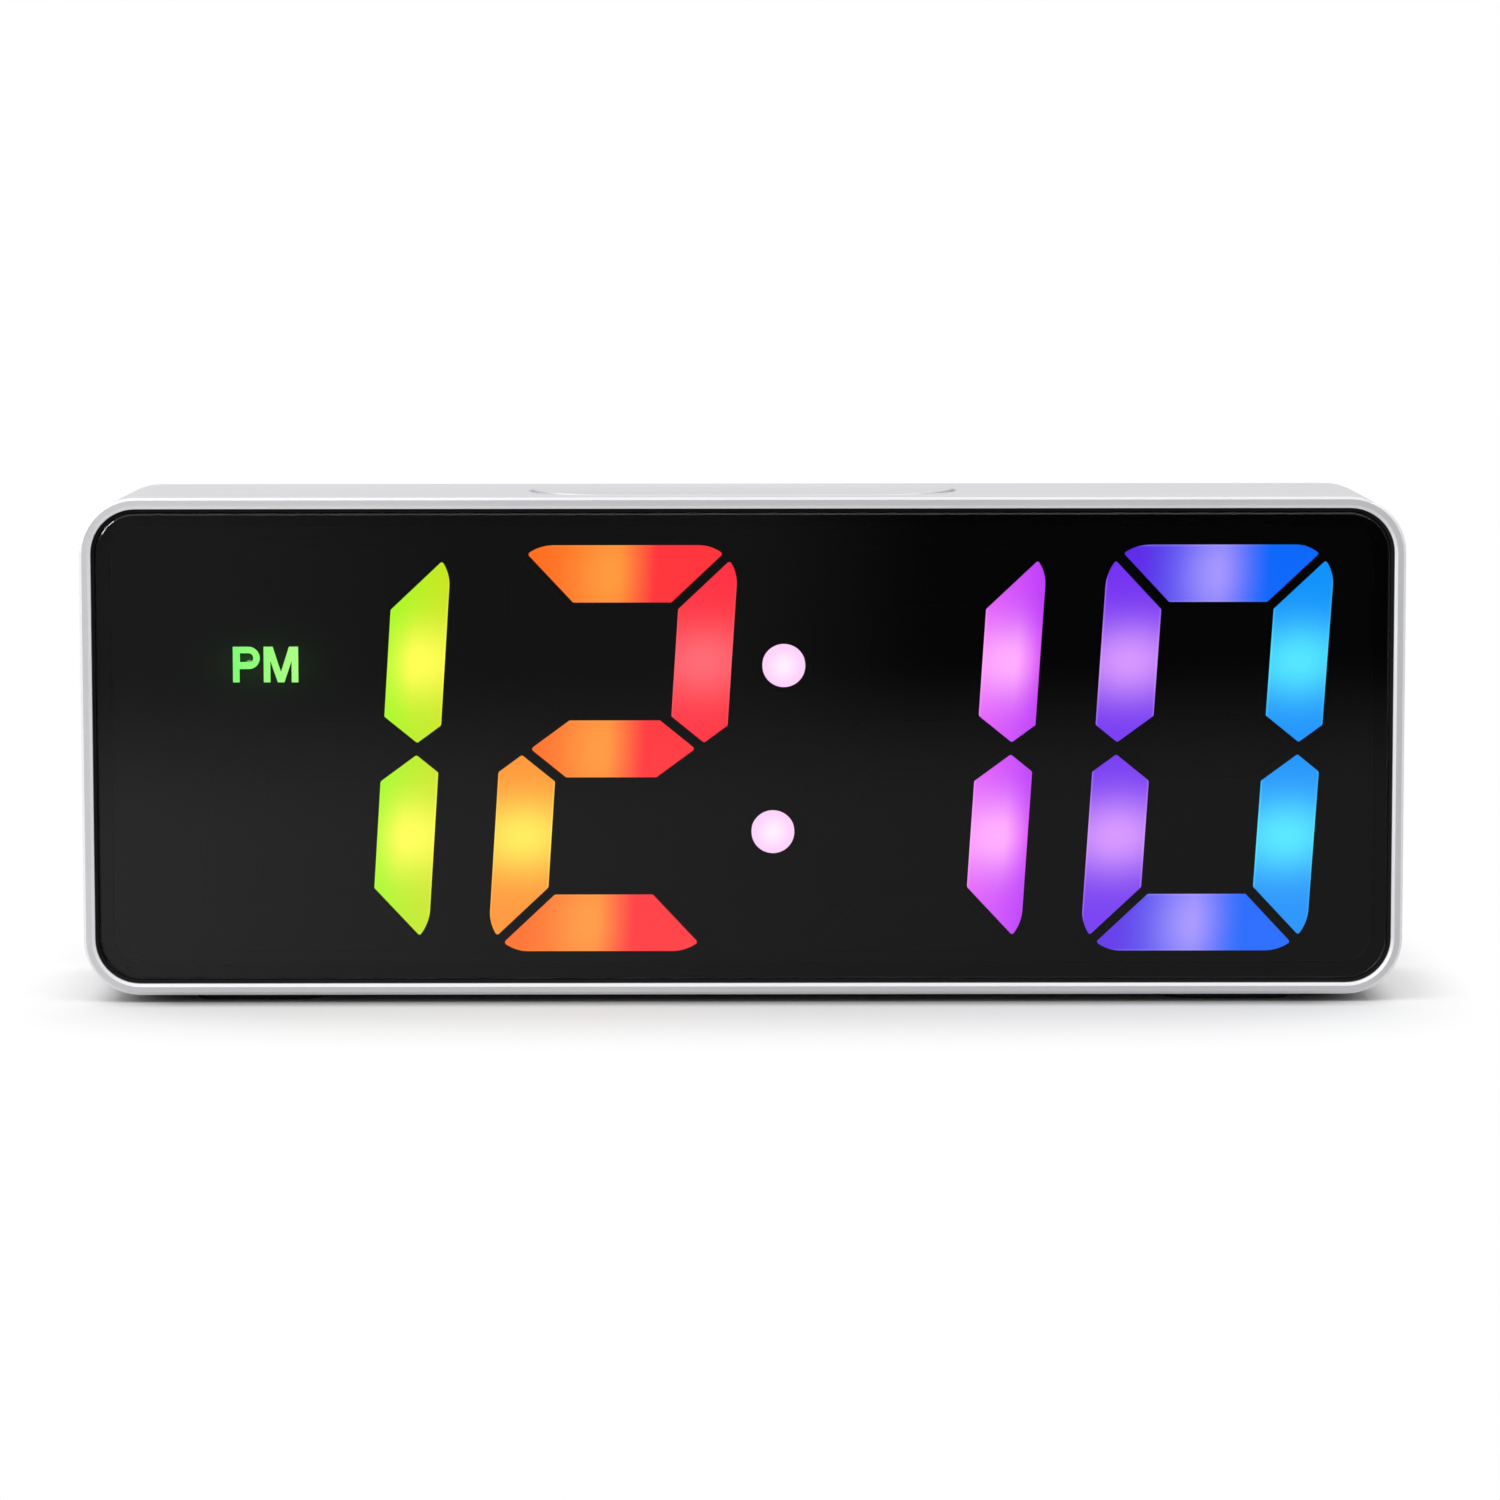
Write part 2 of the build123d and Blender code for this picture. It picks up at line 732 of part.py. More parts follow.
def switch_body(travel):
    """A square switch body along z, its bore open at the top, standing on z = 0."""
    body = Pos(0, 0, switch_height / 2) * Box(switch_side, switch_side, switch_height)
    body = fillet(body.edges().filter_by(Axis.Z), part_edge_round)
    bore_floor = switch_height - plunger_depth - travel - plunger_gap
    return body - upright(0, 0, plunger_radius + plunger_gap, bore_floor, switch_height + cut_overrun)


def plunger():
    """A switch plunger along z, level with the body's top at z = 0."""
    peg = upright(0, 0, plunger_radius, -plunger_depth, plunger_stand)
    return chamfer(facing_edges(peg, Axis.Z, True), part_edge_round / 2)


def make_snooze_bar():
    """The crowned top bar with its stiffening block, end tabs and post."""
    bar = extrude(Pos(0, 0, inner_top) * bar_outline(0), amount=wall + bar_crown)
    crown_radius = (bar_width**2 / 4 + bar_crown**2) / (2 * bar_crown)
    drum = Rot(0, 90, 0) * Cylinder(crown_radius, 2 * bar_length)
    drum = Pos(0, 0, top_z + bar_crown - crown_radius) * drum
    bar = bar & drum
    top_face = bar.faces().sort_by(Axis.Z)[-1]
    bar = fillet(top_face.edges(), bar_edge_round)
    block_front = board_back + boss_board_gap
    block_bottom = inner_top - bar_block_depth
    half_block = bar_block_length / 2
    bar += block(-half_block, half_block, block_front, block_front + bar_block_width, block_bottom, inner_top)
    bar += upright(0, snooze_y, bar_post_radius, block_bottom - bar_post_length, block_bottom)
    tab_top = inner_top - bar_tab_gap
    tab_back = block_front + (bar_block_width + bar_tab_width) / 2
    for side in (-1, 1):
        limits = sorted((side * (half_block - bar_tab_reach), side * (bar_length / 2 + bar_tab_reach)))
        bar += block(*limits, tab_back - bar_tab_width, tab_back, tab_top - bar_tab_thickness, tab_top)
    return bar


def key_shape(gap):
    """The outline of one key about its middle, with a gap all round."""
    return RectangleRounded(key_width + 2 * gap, key_height + 2 * gap, key_radius + gap)


def key_mark(name):
    """The plain sign sunk in a key's face, about its middle."""
    size = key_mark_size
    if name == "up":
        return Polygon((-size / 2, -size / 2), (size / 2, -size / 2), (0, size / 2))
    if name == "down":
        return Polygon((-size / 2, size / 2), (0, -size / 2), (size / 2, size / 2))
    if name == "mode":
        return Circle(size / 2) - Circle(size / 2 - key_mark_line)
    if name == "alarm":
        bell = Circle(size / 2) & (Pos(0, size / 2) * Rectangle(2 * size, size))
        return bell + Pos(0, -key_mark_line / 2) * Rectangle(size + key_mark_line, key_mark_line)
    dots = [Pos(side * size / 2, 0) * Circle(key_mark_line) for side in (-1, 0, 1)]
    return dots[0] + dots[1] + dots[2]


def make_key(name):
    """One rear key: a cap through the cover with a flange behind it and a sign on its face."""
    place = Pos(key_places[name], key_row_z)
    cap = slab(place * key_shape(0), key_flange_front, cover_outer)
    cap = fillet(facing_edges(cap, Axis.Y, True), key_edge_round)
    cap += slab(place * key_shape(key_flange), key_flange_front, key_flange_back)
    return cap - slab(place * key_mark(name), cover_outer - key_mark_depth, cover_outer + cut_overrun)


def key_switch_place(name):
    """The place and turn that stand a switch on the key board under a key."""
    return Pos(key_places[name], key_board_back, key_row_z) * Rot(-90, 0, 0)


def make_key_board():
    """The small board behind the keys, with holes for its screws."""
    board = slab(Pos(key_board_x, middle_z) * Rectangle(key_board_width, key_board_height),
                 key_board_front, key_board_back)
    for x, z in key_posts:
        board -= rod(x, z, board_screw_radius + screw_hole_gap, key_board_front - cut_overrun,
                     key_board_back + cut_overrun)
    return board


def make_buzzer():
    """A round sounder with a hole in its face."""
    body = rod(buzzer_x, buzzer_z, buzzer_radius, key_board_back, key_board_back + buzzer_height)
    body = fillet(facing_edges(body, Axis.Y, True), part_edge_round)
    face = key_board_back + buzzer_height
    return body - rod(buzzer_x, buzzer_z, buzzer_hole_radius, face - buzzer_hole_depth, face + cut_overrun)


def usb_outline(grow):
    """The round-ended outline of the power socket, grown by an amount."""
    return Pos(usb_x, usb_z) * SlotOverall(usb_width + 2 * grow, usb_height + 2 * grow)


def make_usb_shell():
    """The socket's drawn metal shell, closed at the back."""
    mouth = cover_outer - usb_setback
    shell = slab(usb_outline(0), key_board_back, mouth)
    return shell - slab(usb_outline(-usb_wall), key_board_back + usb_back, mouth + cut_overrun)


def make_usb_tongue():
    """The contact tongue standing in the socket."""
    mouth = cover_outer - usb_setback
    tongue = Pos(usb_x, usb_z) * Rectangle(usb_tongue_width, usb_tongue_thickness)
    return slab(tongue, key_board_back + usb_back, mouth - usb_tongue_setback)


def make_rear_cover():
    """The back plate with its screw wells, clamp posts, key posts and openings."""
    cover = slab(inset_case(wall + cover_gap), cover_inner, cover_outer)
    for x, z in boss_places:
        cover += rod(x, z, well_radius, well_front, cover_inner)
    for x, z in clamp_places:
        cover += rod(x, z, clamp_radius, board_back + clamp_gap, cover_inner)
    for x, z in key_posts:
        cover += rod(x, z, key_post_radius, key_board_back, cover_inner)
    cuts = [block(bay_left, bay_right, cover_inner - cut_overrun, cover_outer, bay_bottom, bay_top)]
    cuts += [slab(door_outline(door_gap), door_inner, cover_outer + cut_overrun)]
    cuts += [tab_slot(x) for x in door_tab_places()]
    notch = rounded(notch_width, notch_height, notch_height / 2 - door_gap, bay_middle_x, door_top)
    cuts.append(slab(notch, cover_outer - notch_depth, cover_outer + cut_overrun))
    for x, z in boss_places:
        cuts.append(rod(x, z, cover_screw_head_radius + screw_head_gap, well_seat, cover_outer + cut_overrun))
        cuts.append(rod(x, z, cover_screw_radius + screw_hole_gap, well_front - cut_overrun, cover_outer))
    for x, z in key_posts:
        tip = key_board_front + board_screw_length + screw_gap
        cuts.append(rod(x, z, board_screw_radius + screw_gap, key_board_back - cut_overrun, tip))
    row_length = (len(key_names) - 1) * key_pitch + key_width + 2 * key_recess_margin
    row_height = key_height + 2 * key_recess_margin
    recess = rounded(row_length, row_height, key_radius + key_recess_margin, key_board_x, key_row_z)
    cuts.append(slab(recess, cover_outer - key_recess_depth, cover_outer + cut_overrun))
    for x in key_places.values():
        hole = Pos(x, key_row_z) * key_shape(key_gap)
        cuts.append(slab(hole, cover_inner - cut_overrun, cover_outer))
    cuts.append(slab(usb_outline(usb_gap), cover_inner - cut_overrun, cover_outer + cut_overrun))
    for x, z in sound_holes():
        cuts.append(rod(x, z, sound_hole_radius, cover_inner - cut_overrun, cover_outer + cut_overrun))
    return cover - cuts


def make_battery_tray():
    """The open box behind the battery door, welded by its rim to the inside of the rear cover."""
    tray = block(bay_left - bay_wall, bay_right + bay_wall, bay_front, cover_inner,
                 bay_bottom - bay_wall, bay_top + bay_wall)
    cuts = [block(bay_left, bay_right, bay_floor, cover_inner + cut_overrun, bay_bottom, bay_top)]
    cuts += [tab_slot(x) for x in door_tab_places()]
    for x, _, low, high in tab_openings():
        cuts.append(block(x - contact_tab_gap, x + contact_thickness + contact_tab_gap,
                          bay_front - cut_overrun, bay_floor + cut_overrun, low, high))
    return tray - cuts


def sound_holes():
    """A ring of holes and one in the middle, over the buzzer."""
    places = [(buzzer_x, buzzer_z)]
    for i in range(sound_hole_count):
        turn = 2 * pi * i / sound_hole_count
        places.append((buzzer_x + sound_ring_radius * cos(turn), buzzer_z + sound_ring_radius * sin(turn)))
    return places


def door_outline(gap):
    """The outline of the battery door, with a gap all round."""
    width = bay_length + 2 * door_lip + 2 * gap
    height = bay_height + 2 * door_lip + 2 * gap
    return rounded(width, height, door_corner_radius + gap, bay_middle_x, middle_z)


def door_tab_places():
    """The middles of the two hinge tabs on the door's lower edge."""
    return [bay_middle_x + side * door_tab_spread / 2 for side in (-1, 1)]


def tab_slot(x):
    """The room in the cover that a hinge tab turns in, open to the inside."""
    half = door_tab_width / 2 + door_gap
    sweep = hypot(door_thickness, door_tab_reach) + door_tab_gap
    return block(x - half, x + half, cover_outer - sweep, cover_outer - door_tab_skin,
                 door_bottom - door_tab_reach - door_gap, door_bottom + sweep)


def make_door():
    """The battery door, with hinge tabs below and grip grooves near its top."""
    door = slab(door_outline(0), door_inner, cover_outer)
    door = fillet(facing_edges(door, Axis.Y, True), door_edge_round)
    for x in door_tab_places():
        half = door_tab_width / 2
        door += block(x - half, x + half, door_inner, cover_outer - door_tab_skin - door_tab_gap,
                      door_bottom - door_tab_reach, door_bottom + door_lip)
    for i in range(door_rib_count):
        z = door_top - door_rib_drop - i * door_rib_pitch
        groove = Pos(bay_middle_x, z) * SlotOverall(door_rib_length, door_rib_width)
        door -= slab(groove, cover_outer - door_rib_depth, cover_outer + cut_overrun)
    return door


def cell_levels():
    """The heights of the cells' axes and which end is positive: 1 is the right."""
    first = bay_bottom + bay_side_gap + cell_pitch / 2
    return [(first + i * cell_pitch, 1 if i % 2 == 0 else -1) for i in range(cell_count)]


def make_cells():
    """Dry cells side by side, turned end for end."""
    cells = []
    radius = cell_diameter / 2
    for z, way in cell_levels():
        plain = contact_thickness + spring_length
        start = bay_left + plain if way > 0 else bay_right - plain
        shoulder = start + way * (cell_length - cell_nub_length)
        end = start + way * cell_length
        can_place = Pos((start + shoulder) / 2, cell_axis_y, z) * Rot(0, 90, 0)
        can = can_place * Cylinder(radius, abs(shoulder - start))
        can = fillet(can.edges(), cell_edge_round)
        nub_place = Pos((shoulder + end) / 2, cell_axis_y, z) * Rot(0, 90, 0)
        cells.append(can + nub_place * Cylinder(cell_nub_radius, abs(end - shoulder)))
    return group(cells)


def contact_runs():
    """The contact plates: their end of the bay, the heights they cover and whether they carry a lead."""
    levels = [z for z, way in cell_levels()]
    half = contact_width / 2
    linked = [(-1, levels[:1]), (-1, levels[1:]), (1, levels[:-1]), (1, levels[-1:])]
    return [(side, run[0] - half, run[-1] + half, len(run) == 1) for side, run in linked]


def contact_face(side):
    """The low x of a contact plate against an end wall of the bay."""
    return bay_left + contact_gap if side < 0 else bay_right - contact_gap - contact_thickness


def tab_openings():
    """The slots in the bay floor that the two lead tabs pass through."""
    openings = []
    for side, low, high, has_lead in contact_runs():
        if has_lead:
            middle = (low + high) / 2
            half = contact_tab_width / 2 + contact_tab_gap
            openings.append((contact_face(side), middle, middle - half, middle + half))
    return openings


def make_contacts():
    """Plates at the ends of the bay; the two end plates have a tab through the floor for a lead."""
    plates = []
    for side, low, high, has_lead in contact_runs():
        x = contact_face(side)
        back = cell_axis_y + contact_width / 2
        plate = block(x, x + contact_thickness, bay_floor + contact_gap, back, low, high)
        if has_lead:
            middle = (low + high) / 2
            half = contact_tab_width / 2
            plate += block(x, x + contact_thickness, bay_front - contact_tab_length, cell_axis_y,
                           middle - half, middle + half)
        plates.append(plate)
    return group(plates)


def make_lead(side):
    """A short wire from an end plate's tab to the main board."""
    x, z = next((x, z) for x, z, low, high in tab_openings() if (x > bay_middle_x) == (side > 0))
    x += contact_thickness / 2
    start = bay_front - contact_tab_length
    halfway = (start + board_back) / 2
    away = x - side * lead_run
    route = [(x, start, z), (x, halfway, z), (away, halfway, z), (away, board_back, z)]
    path = FilletPolyline(route, radius=lead_bend)
    return sweep(Plane(origin=path @ 0, z_dir=path % 0) * Circle(lead_radius), path=path)


def spring_point(turn, x, way, z):
    """A point on a conical spring's centre line after some turns from its plate."""
    share = turn / spring_turns
    radius = spring_base_radius + (spring_tip_radius - spring_base_radius) * share
    along = spring_end_gap + spring_wire_radius
    travel = spring_length - 2 * (spring_end_gap + spring_wire_radius)
    angle = 2 * pi * turn
    place = x + way * (along + travel * share)
    return Vector(place, cell_axis_y + radius * cos(angle), z + radius * sin(angle))


def spring_slope(turn, x, way, z):
    """The way a conical spring's centre line runs after some turns from its plate."""
    ahead = spring_point(turn + spring_step_share, x, way, z)
    behind = spring_point(turn - spring_step_share, x, way, z)
    return (ahead - behind).normalized()


def spring_self_gap():
    """The least gap between a spring's wire and itself, at least half a turn on."""
    per_turn = spring_samples_per_turn
    points = [spring_point(i / per_turn, 0, 1, 0) for i in range(per_turn * spring_turns + 1)]
    pairs = [(i, j) for j in range(len(points)) for i in range(j - per_turn // 2)]
    return min((points[i] - points[j]).length for i, j in pairs) - 2 * spring_wire_radius


def make_springs():
    """A conical spring at each cell's flat end, each one unbroken wire of quarter-turn double arcs."""
    springs = []
    for z, way in cell_levels():
        x = bay_left + contact_thickness if way > 0 else bay_right - contact_thickness
        quarters = 4 * spring_turns
        knots = [spring_point(i / 4, x, way, z) for i in range(quarters + 1)]
        slopes = [spring_slope(i / 4, x, way, z) for i in range(quarters + 1)]
        edges = []
        for i in range(quarters):
            edges += double_arc(knots[i], slopes[i], knots[i + 1], slopes[i + 1])
        path = Wire(edges)
        springs.append(sweep(Plane(origin=knots[0], z_dir=slopes[0]) * Circle(spring_wire_radius), path=path))
    print("least gap between spring turns:", round(spring_self_gap(), 3))
    return group(springs)


def double_arc(start, start_slope, end, end_slope):
    """Two tangent arcs that leave one point along its slope and reach another along its own."""
    span = end - start
    slope = start_slope + end_slope
    lead = span.dot(slope)
    room = 4 - slope.dot(slope)
    reach = (sqrt(lead**2 + room * span.dot(span)) - lead) / room
    first = start + start_slope * reach
    second = end - end_slope * reach
    middle = (first + second) / 2
    return [TangentArc(start, middle, tangent=start_slope), TangentArc(middle, end, tangent=second - first)]


parts = {
    "case_shell": make_case_shell(),
    "display_window": make_window(),
    "window_gasket": make_gasket(),
    "segment_mask": make_mask(),
    "colon_lenses": make_colon(),
    "pm_indicator": make_indicator(),
    "main_board": make_main_board(),
    "segment_leds": make_leds(),
    "controller_chip": chip(key_board_x, middle_z, chip_length, chip_width, chip_height),
    "driver_chips": group(chip(key_board_x + side * driver_spacing, key_row_z, driver_length, driver_width,
                               driver_height) for side in (-1, 1)),
    "crystal_can": make_crystal(),
    "filter_capacitors": make_capacitors(),
    "board_link": make_link(),
    "snooze_switch": Pos(0, snooze_y, snooze_switch_top - switch_height) * switch_body(bar_travel),
    "snooze_plunger": Pos(0, snooze_y, snooze_switch_top) * plunger(),
    "snooze_bar": make_snooze_bar(),
    "key_board": make_key_board(),
    "key_switches": group(key_switch_place(name) * switch_body(key_travel) for name in key_names),
    "buzzer": make_buzzer(),
    "usb_shell": make_usb_shell(),
    "usb_tongue": make_usb_tongue(),
    "rear_cover": make_rear_cover(),
    "battery_tray": make_battery_tray(),
    "battery_door": make_door(),
    "battery_cells": make_cells(),
    "battery_springs": make_springs(),
    "battery_contacts": make_contacts(),
    "positive_lead": make_lead(1),
    "negative_lead": make_lead(-1),
    "feet": make_feet(),
    "cover_screws": make_cover_screws(),
    "board_screws": make_board_screws(board_screw_places, board_back, 1),
    "key_board_screws": make_board_screws(key_posts, key_board_front, -1),
}
for digit, (place, lit, unlit) in digit_places.items():
    parts[digit + "_lit"] = make_segments(place, lit)
    parts[digit + "_unlit"] = make_segments(place, unlit)
for name in key_names:
    parts[name + "_key"] = make_key(name)
    parts[name + "_plunger"] = key_switch_place(name) * Pos(0, 0, switch_height) * plunger()

os.makedirs("parts", exist_ok=True)
for node, shape in parts.items():
    export_step(shape, f"parts/{node}.step")
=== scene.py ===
"""Digital desk clock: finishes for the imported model, print on its back and a white studio table."""
import math

import bpy
from bpy.props import FloatProperty, FloatVectorProperty, PointerProperty
from mathutils import Matrix, Vector


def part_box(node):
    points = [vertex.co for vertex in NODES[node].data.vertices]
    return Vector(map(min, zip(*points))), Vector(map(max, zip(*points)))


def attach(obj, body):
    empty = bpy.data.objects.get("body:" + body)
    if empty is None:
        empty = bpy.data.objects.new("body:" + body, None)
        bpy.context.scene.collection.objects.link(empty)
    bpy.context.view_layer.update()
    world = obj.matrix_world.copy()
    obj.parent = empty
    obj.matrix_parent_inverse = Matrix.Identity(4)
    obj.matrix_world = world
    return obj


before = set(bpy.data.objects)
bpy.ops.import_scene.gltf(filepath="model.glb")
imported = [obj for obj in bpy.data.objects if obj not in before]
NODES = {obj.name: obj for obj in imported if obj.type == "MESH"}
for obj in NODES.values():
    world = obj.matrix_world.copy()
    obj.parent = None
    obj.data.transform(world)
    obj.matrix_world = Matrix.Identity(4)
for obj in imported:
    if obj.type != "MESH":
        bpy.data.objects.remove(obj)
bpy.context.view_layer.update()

bl_info = {
    "name": "Desk Clock Dresser",
    "version": (1, 0, 0),
    "blender": (4, 5, 0),
    "location": "View3D > Sidebar > Clock",
    "description": "Gives a packed desk clock its finishes, rear print and studio table",
    "category": "Object",
}

KEYS = ("mode", "up", "down", "alarm", "colour")
DIGITS = ("hour_tens", "hour_units", "minute_tens", "minute_units")
MM = 0.001
MICRON = 0.001 * MM
BLACK = (0.0, 0.0, 0.0, 1.0)
WHITE = (1.0, 1.0, 1.0, 1.0)

# Sizes of the features in the finishes
HAIRLINE_LENGTH = 45 * MM
CLOUD = 20 * MM
SMEAR_WIDTH = 30 * MM
SMEAR_HEIGHT = 12 * MM
DUST = 0.6 * MM
PATCH = 15 * MM
DRAW_WIDTH = 0.3 * MM
DRAW_LENGTH = 4 * MM
HAZE = 3 * MM
PORE = 0.4 * MM
FINE_GRAIN = 0.3 * MM
SPARK_GRAIN = 0.35 * MM
RESIN_GRAIN = 0.2 * MM
LAMP_GRAIN = 0.5 * MM
WIRE_GRAIN = 0.6 * MM
SLEEVE_WEAR = 1.2 * MM
DISTRICT_WIDTH = 11 * MM
DISTRICT_HEIGHT = 6 * MM
SHEEN_WIDTH = 0.5 * MM
PAPER = 4 * MM

# Own colours of the lit inserts, in linear light
INSERT_TONE = (0.02, 0.02, 0.02, 1.0)
COLON_TONE = (0.2, 0.17, 0.2, 1.0)
INDICATOR_TONE = (0.05, 0.14, 0.05, 1.0)

# Range of a noise that shows as a change from one tone to the other
CONTRAST = (0.3, 0.8)
# How squarely a surface has to face an axis to count as flat
FLAT = 0.9
# Two faces nearer than this are flush
FLUSH = 0.005 * MM
# A face nearer than this to the window is glued to it
GLUE = 0.02 * MM
# Half the thickness of the printed words, and the height of a capital over the size of the letters
INK = 0.01 * MM
CAPITAL_SHARE = 0.7


def tint(name, description, red, green, blue):
    """A colour setting, kept as it looks on a screen."""
    return FloatVectorProperty(name=name, description=description, subtype="COLOR_GAMMA", size=3,
                               min=0.0, max=1.0, default=(red / 255, green / 255, blue / 255))


def length(name, description, default):
    """A length setting in metres."""
    return FloatProperty(name=name, description=description, default=default, unit="LENGTH", precision=5)


def position(name, description, *default):
    """A place setting in metres."""
    return FloatVectorProperty(name=name, description=description, default=default, size=3,
                               subtype="TRANSLATION", unit="LENGTH")


def share(name, description, default):
    """A setting between 0 and 1."""
    return FloatProperty(name=name, description=description, default=default,
                         min=0.0, max=1.0, subtype="FACTOR")


def amount(name, description, default):
    """A setting that is a plain number."""
    return FloatProperty(name=name, description=description, default=default)


def angle(name, description, degrees):
    """An angle setting."""
    return FloatProperty(name=name, description=description, default=math.radians(degrees), subtype="ANGLE")


def wattage(name, description, watts):
    """A lamp's power setting."""
    return FloatProperty(name=name, description=description, default=watts, unit="POWER")


class ClockFinishSettings(bpy.types.PropertyGroup):
    """Colours and gloss of the clock's pieces."""
    silver: tint("Silver", "Case and snooze bar", 203, 203, 206)
    silver_shade: tint("Silver shade", "The darker hairlines of the brushed case", 195, 195, 198)
    # Painted highlight: the front bevels get this paler colour so that they read as bright lines
    silver_edge_highlight: tint("Silver edge", "The bright-cut edges of the front rim", 227, 227, 229)
    silver_metal: share("Silver metal", "Share of bare metal in the satin case", 0.5)
    silver_roughness: share("Silver roughness", "How dull the brushed case is", 0.4)
    silver_gloss: share("Silver gloss", "Mirror light of the satin coat", 0.2)
    silver_grazing: tint("Silver grazing", "Mirror colour when seen along the faces", 196, 196, 197)
    hairline: length("Hairline", "Width of the brushed lines", 0.0004)
    # The bevel band that carries the painted highlight, and the strip along the top that is left without it
    edge_depth: length("Edge depth", "Depth of the bright-cut edges", 0.0002)
    edge_clear: length("Edge clear", "Strip along the top where the edge is not bright", 0.00075)
    window_opacity: share("Window opacity", "Share of the light that each face of the window holds back", 0.5)
    window_index: amount("Window index", "Refractive index of the window", 1.47)
    window_tint: tint("Window tint", "Smoked window", 3, 3, 4)
    mask: tint("Light box", "Black box behind the window", 2, 2, 2)
    unlit: tint("Unlit segment", "Tinted inserts that are off", 3, 3, 3)
    cover: tint("Rear cover", "Back plate, battery tray and door", 38, 38, 40)
    key: tint("Keys", "Rear keys", 74, 75, 78)
    sign_top: length("Sign top", "Depth at which the paint in the keys' signs starts", 0.0001)
    sign_floor: length("Sign floor", "Depth at which the paint in the keys' signs ends", 0.00022)
    print_white: tint("Print", "Signs and words on the back", 206, 207, 205)
    word_height: length("Word height", "Height of the words over the keys", 0.0015)
    word_rise: length("Word rise", "From the top of a key to its word", 0.0027)
    socket_word_height: length("Socket word height", "Height of the word under the socket", 0.0016)
    socket_word_drop: length("Socket word drop", "From the socket to its word", 0.0034)
    board: tint("Circuit board", "Solder mask", 16, 84, 46)
    copper: tint("Tracks", "Copper tracks under the solder mask", 44, 122, 70)
    track_pitch: length("Track pitch", "From track to track", 0.00127)
    track_share: share("Track share", "Half the width of a track over the pitch", 0.16)
    hole_share: share("Hole share", "Squared radius of a plated hole over its squared pitch", 0.03)
    resin: tint("Moulded resin", "Chips, switches and sounder", 34, 34, 35)
    plunger: tint("Plungers", "Switch plungers", 176, 42, 34)
    lamp: tint("Lamps", "Lamp bodies on the board", 238, 236, 224)
    can: tint("Capacitor sleeve", "Sleeve of the cans", 30, 36, 66)
    can_top: length("Can top", "Bare end of the cans", 0.00025)
    nickel: tint("Nickel", "Springs, contacts, socket and crystal", 214, 210, 202)
    zinc: tint("Zinc", "Screws", 176, 177, 180)
    gold: tint("Gold", "Contacts of the power socket", 222, 178, 84)
    contact_pitch: length("Contact pitch", "From contact to contact of the power socket", 0.0005)
    contact_share: share("Contact share", "Width of a contact over the pitch", 0.55)
    contact_start: length("Contact start", "From the tongue's end to the contacts", 0.0004)
    contact_end: length("Contact end", "From the tongue's end to the far end of the contacts", 0.0032)
    cell: tint("Cell sleeve", "Longer band of the cells", 36, 38, 44)
    cell_band: tint("Cell band", "Shorter band of the cells", 196, 132, 74)
    red_wire: tint("Positive lead", "Insulation of the positive lead", 186, 24, 22)
    black_wire: tint("Negative lead", "Insulation of the negative lead", 26, 26, 27)
    rubber: tint("Rubber", "Feet", 30, 30, 31)


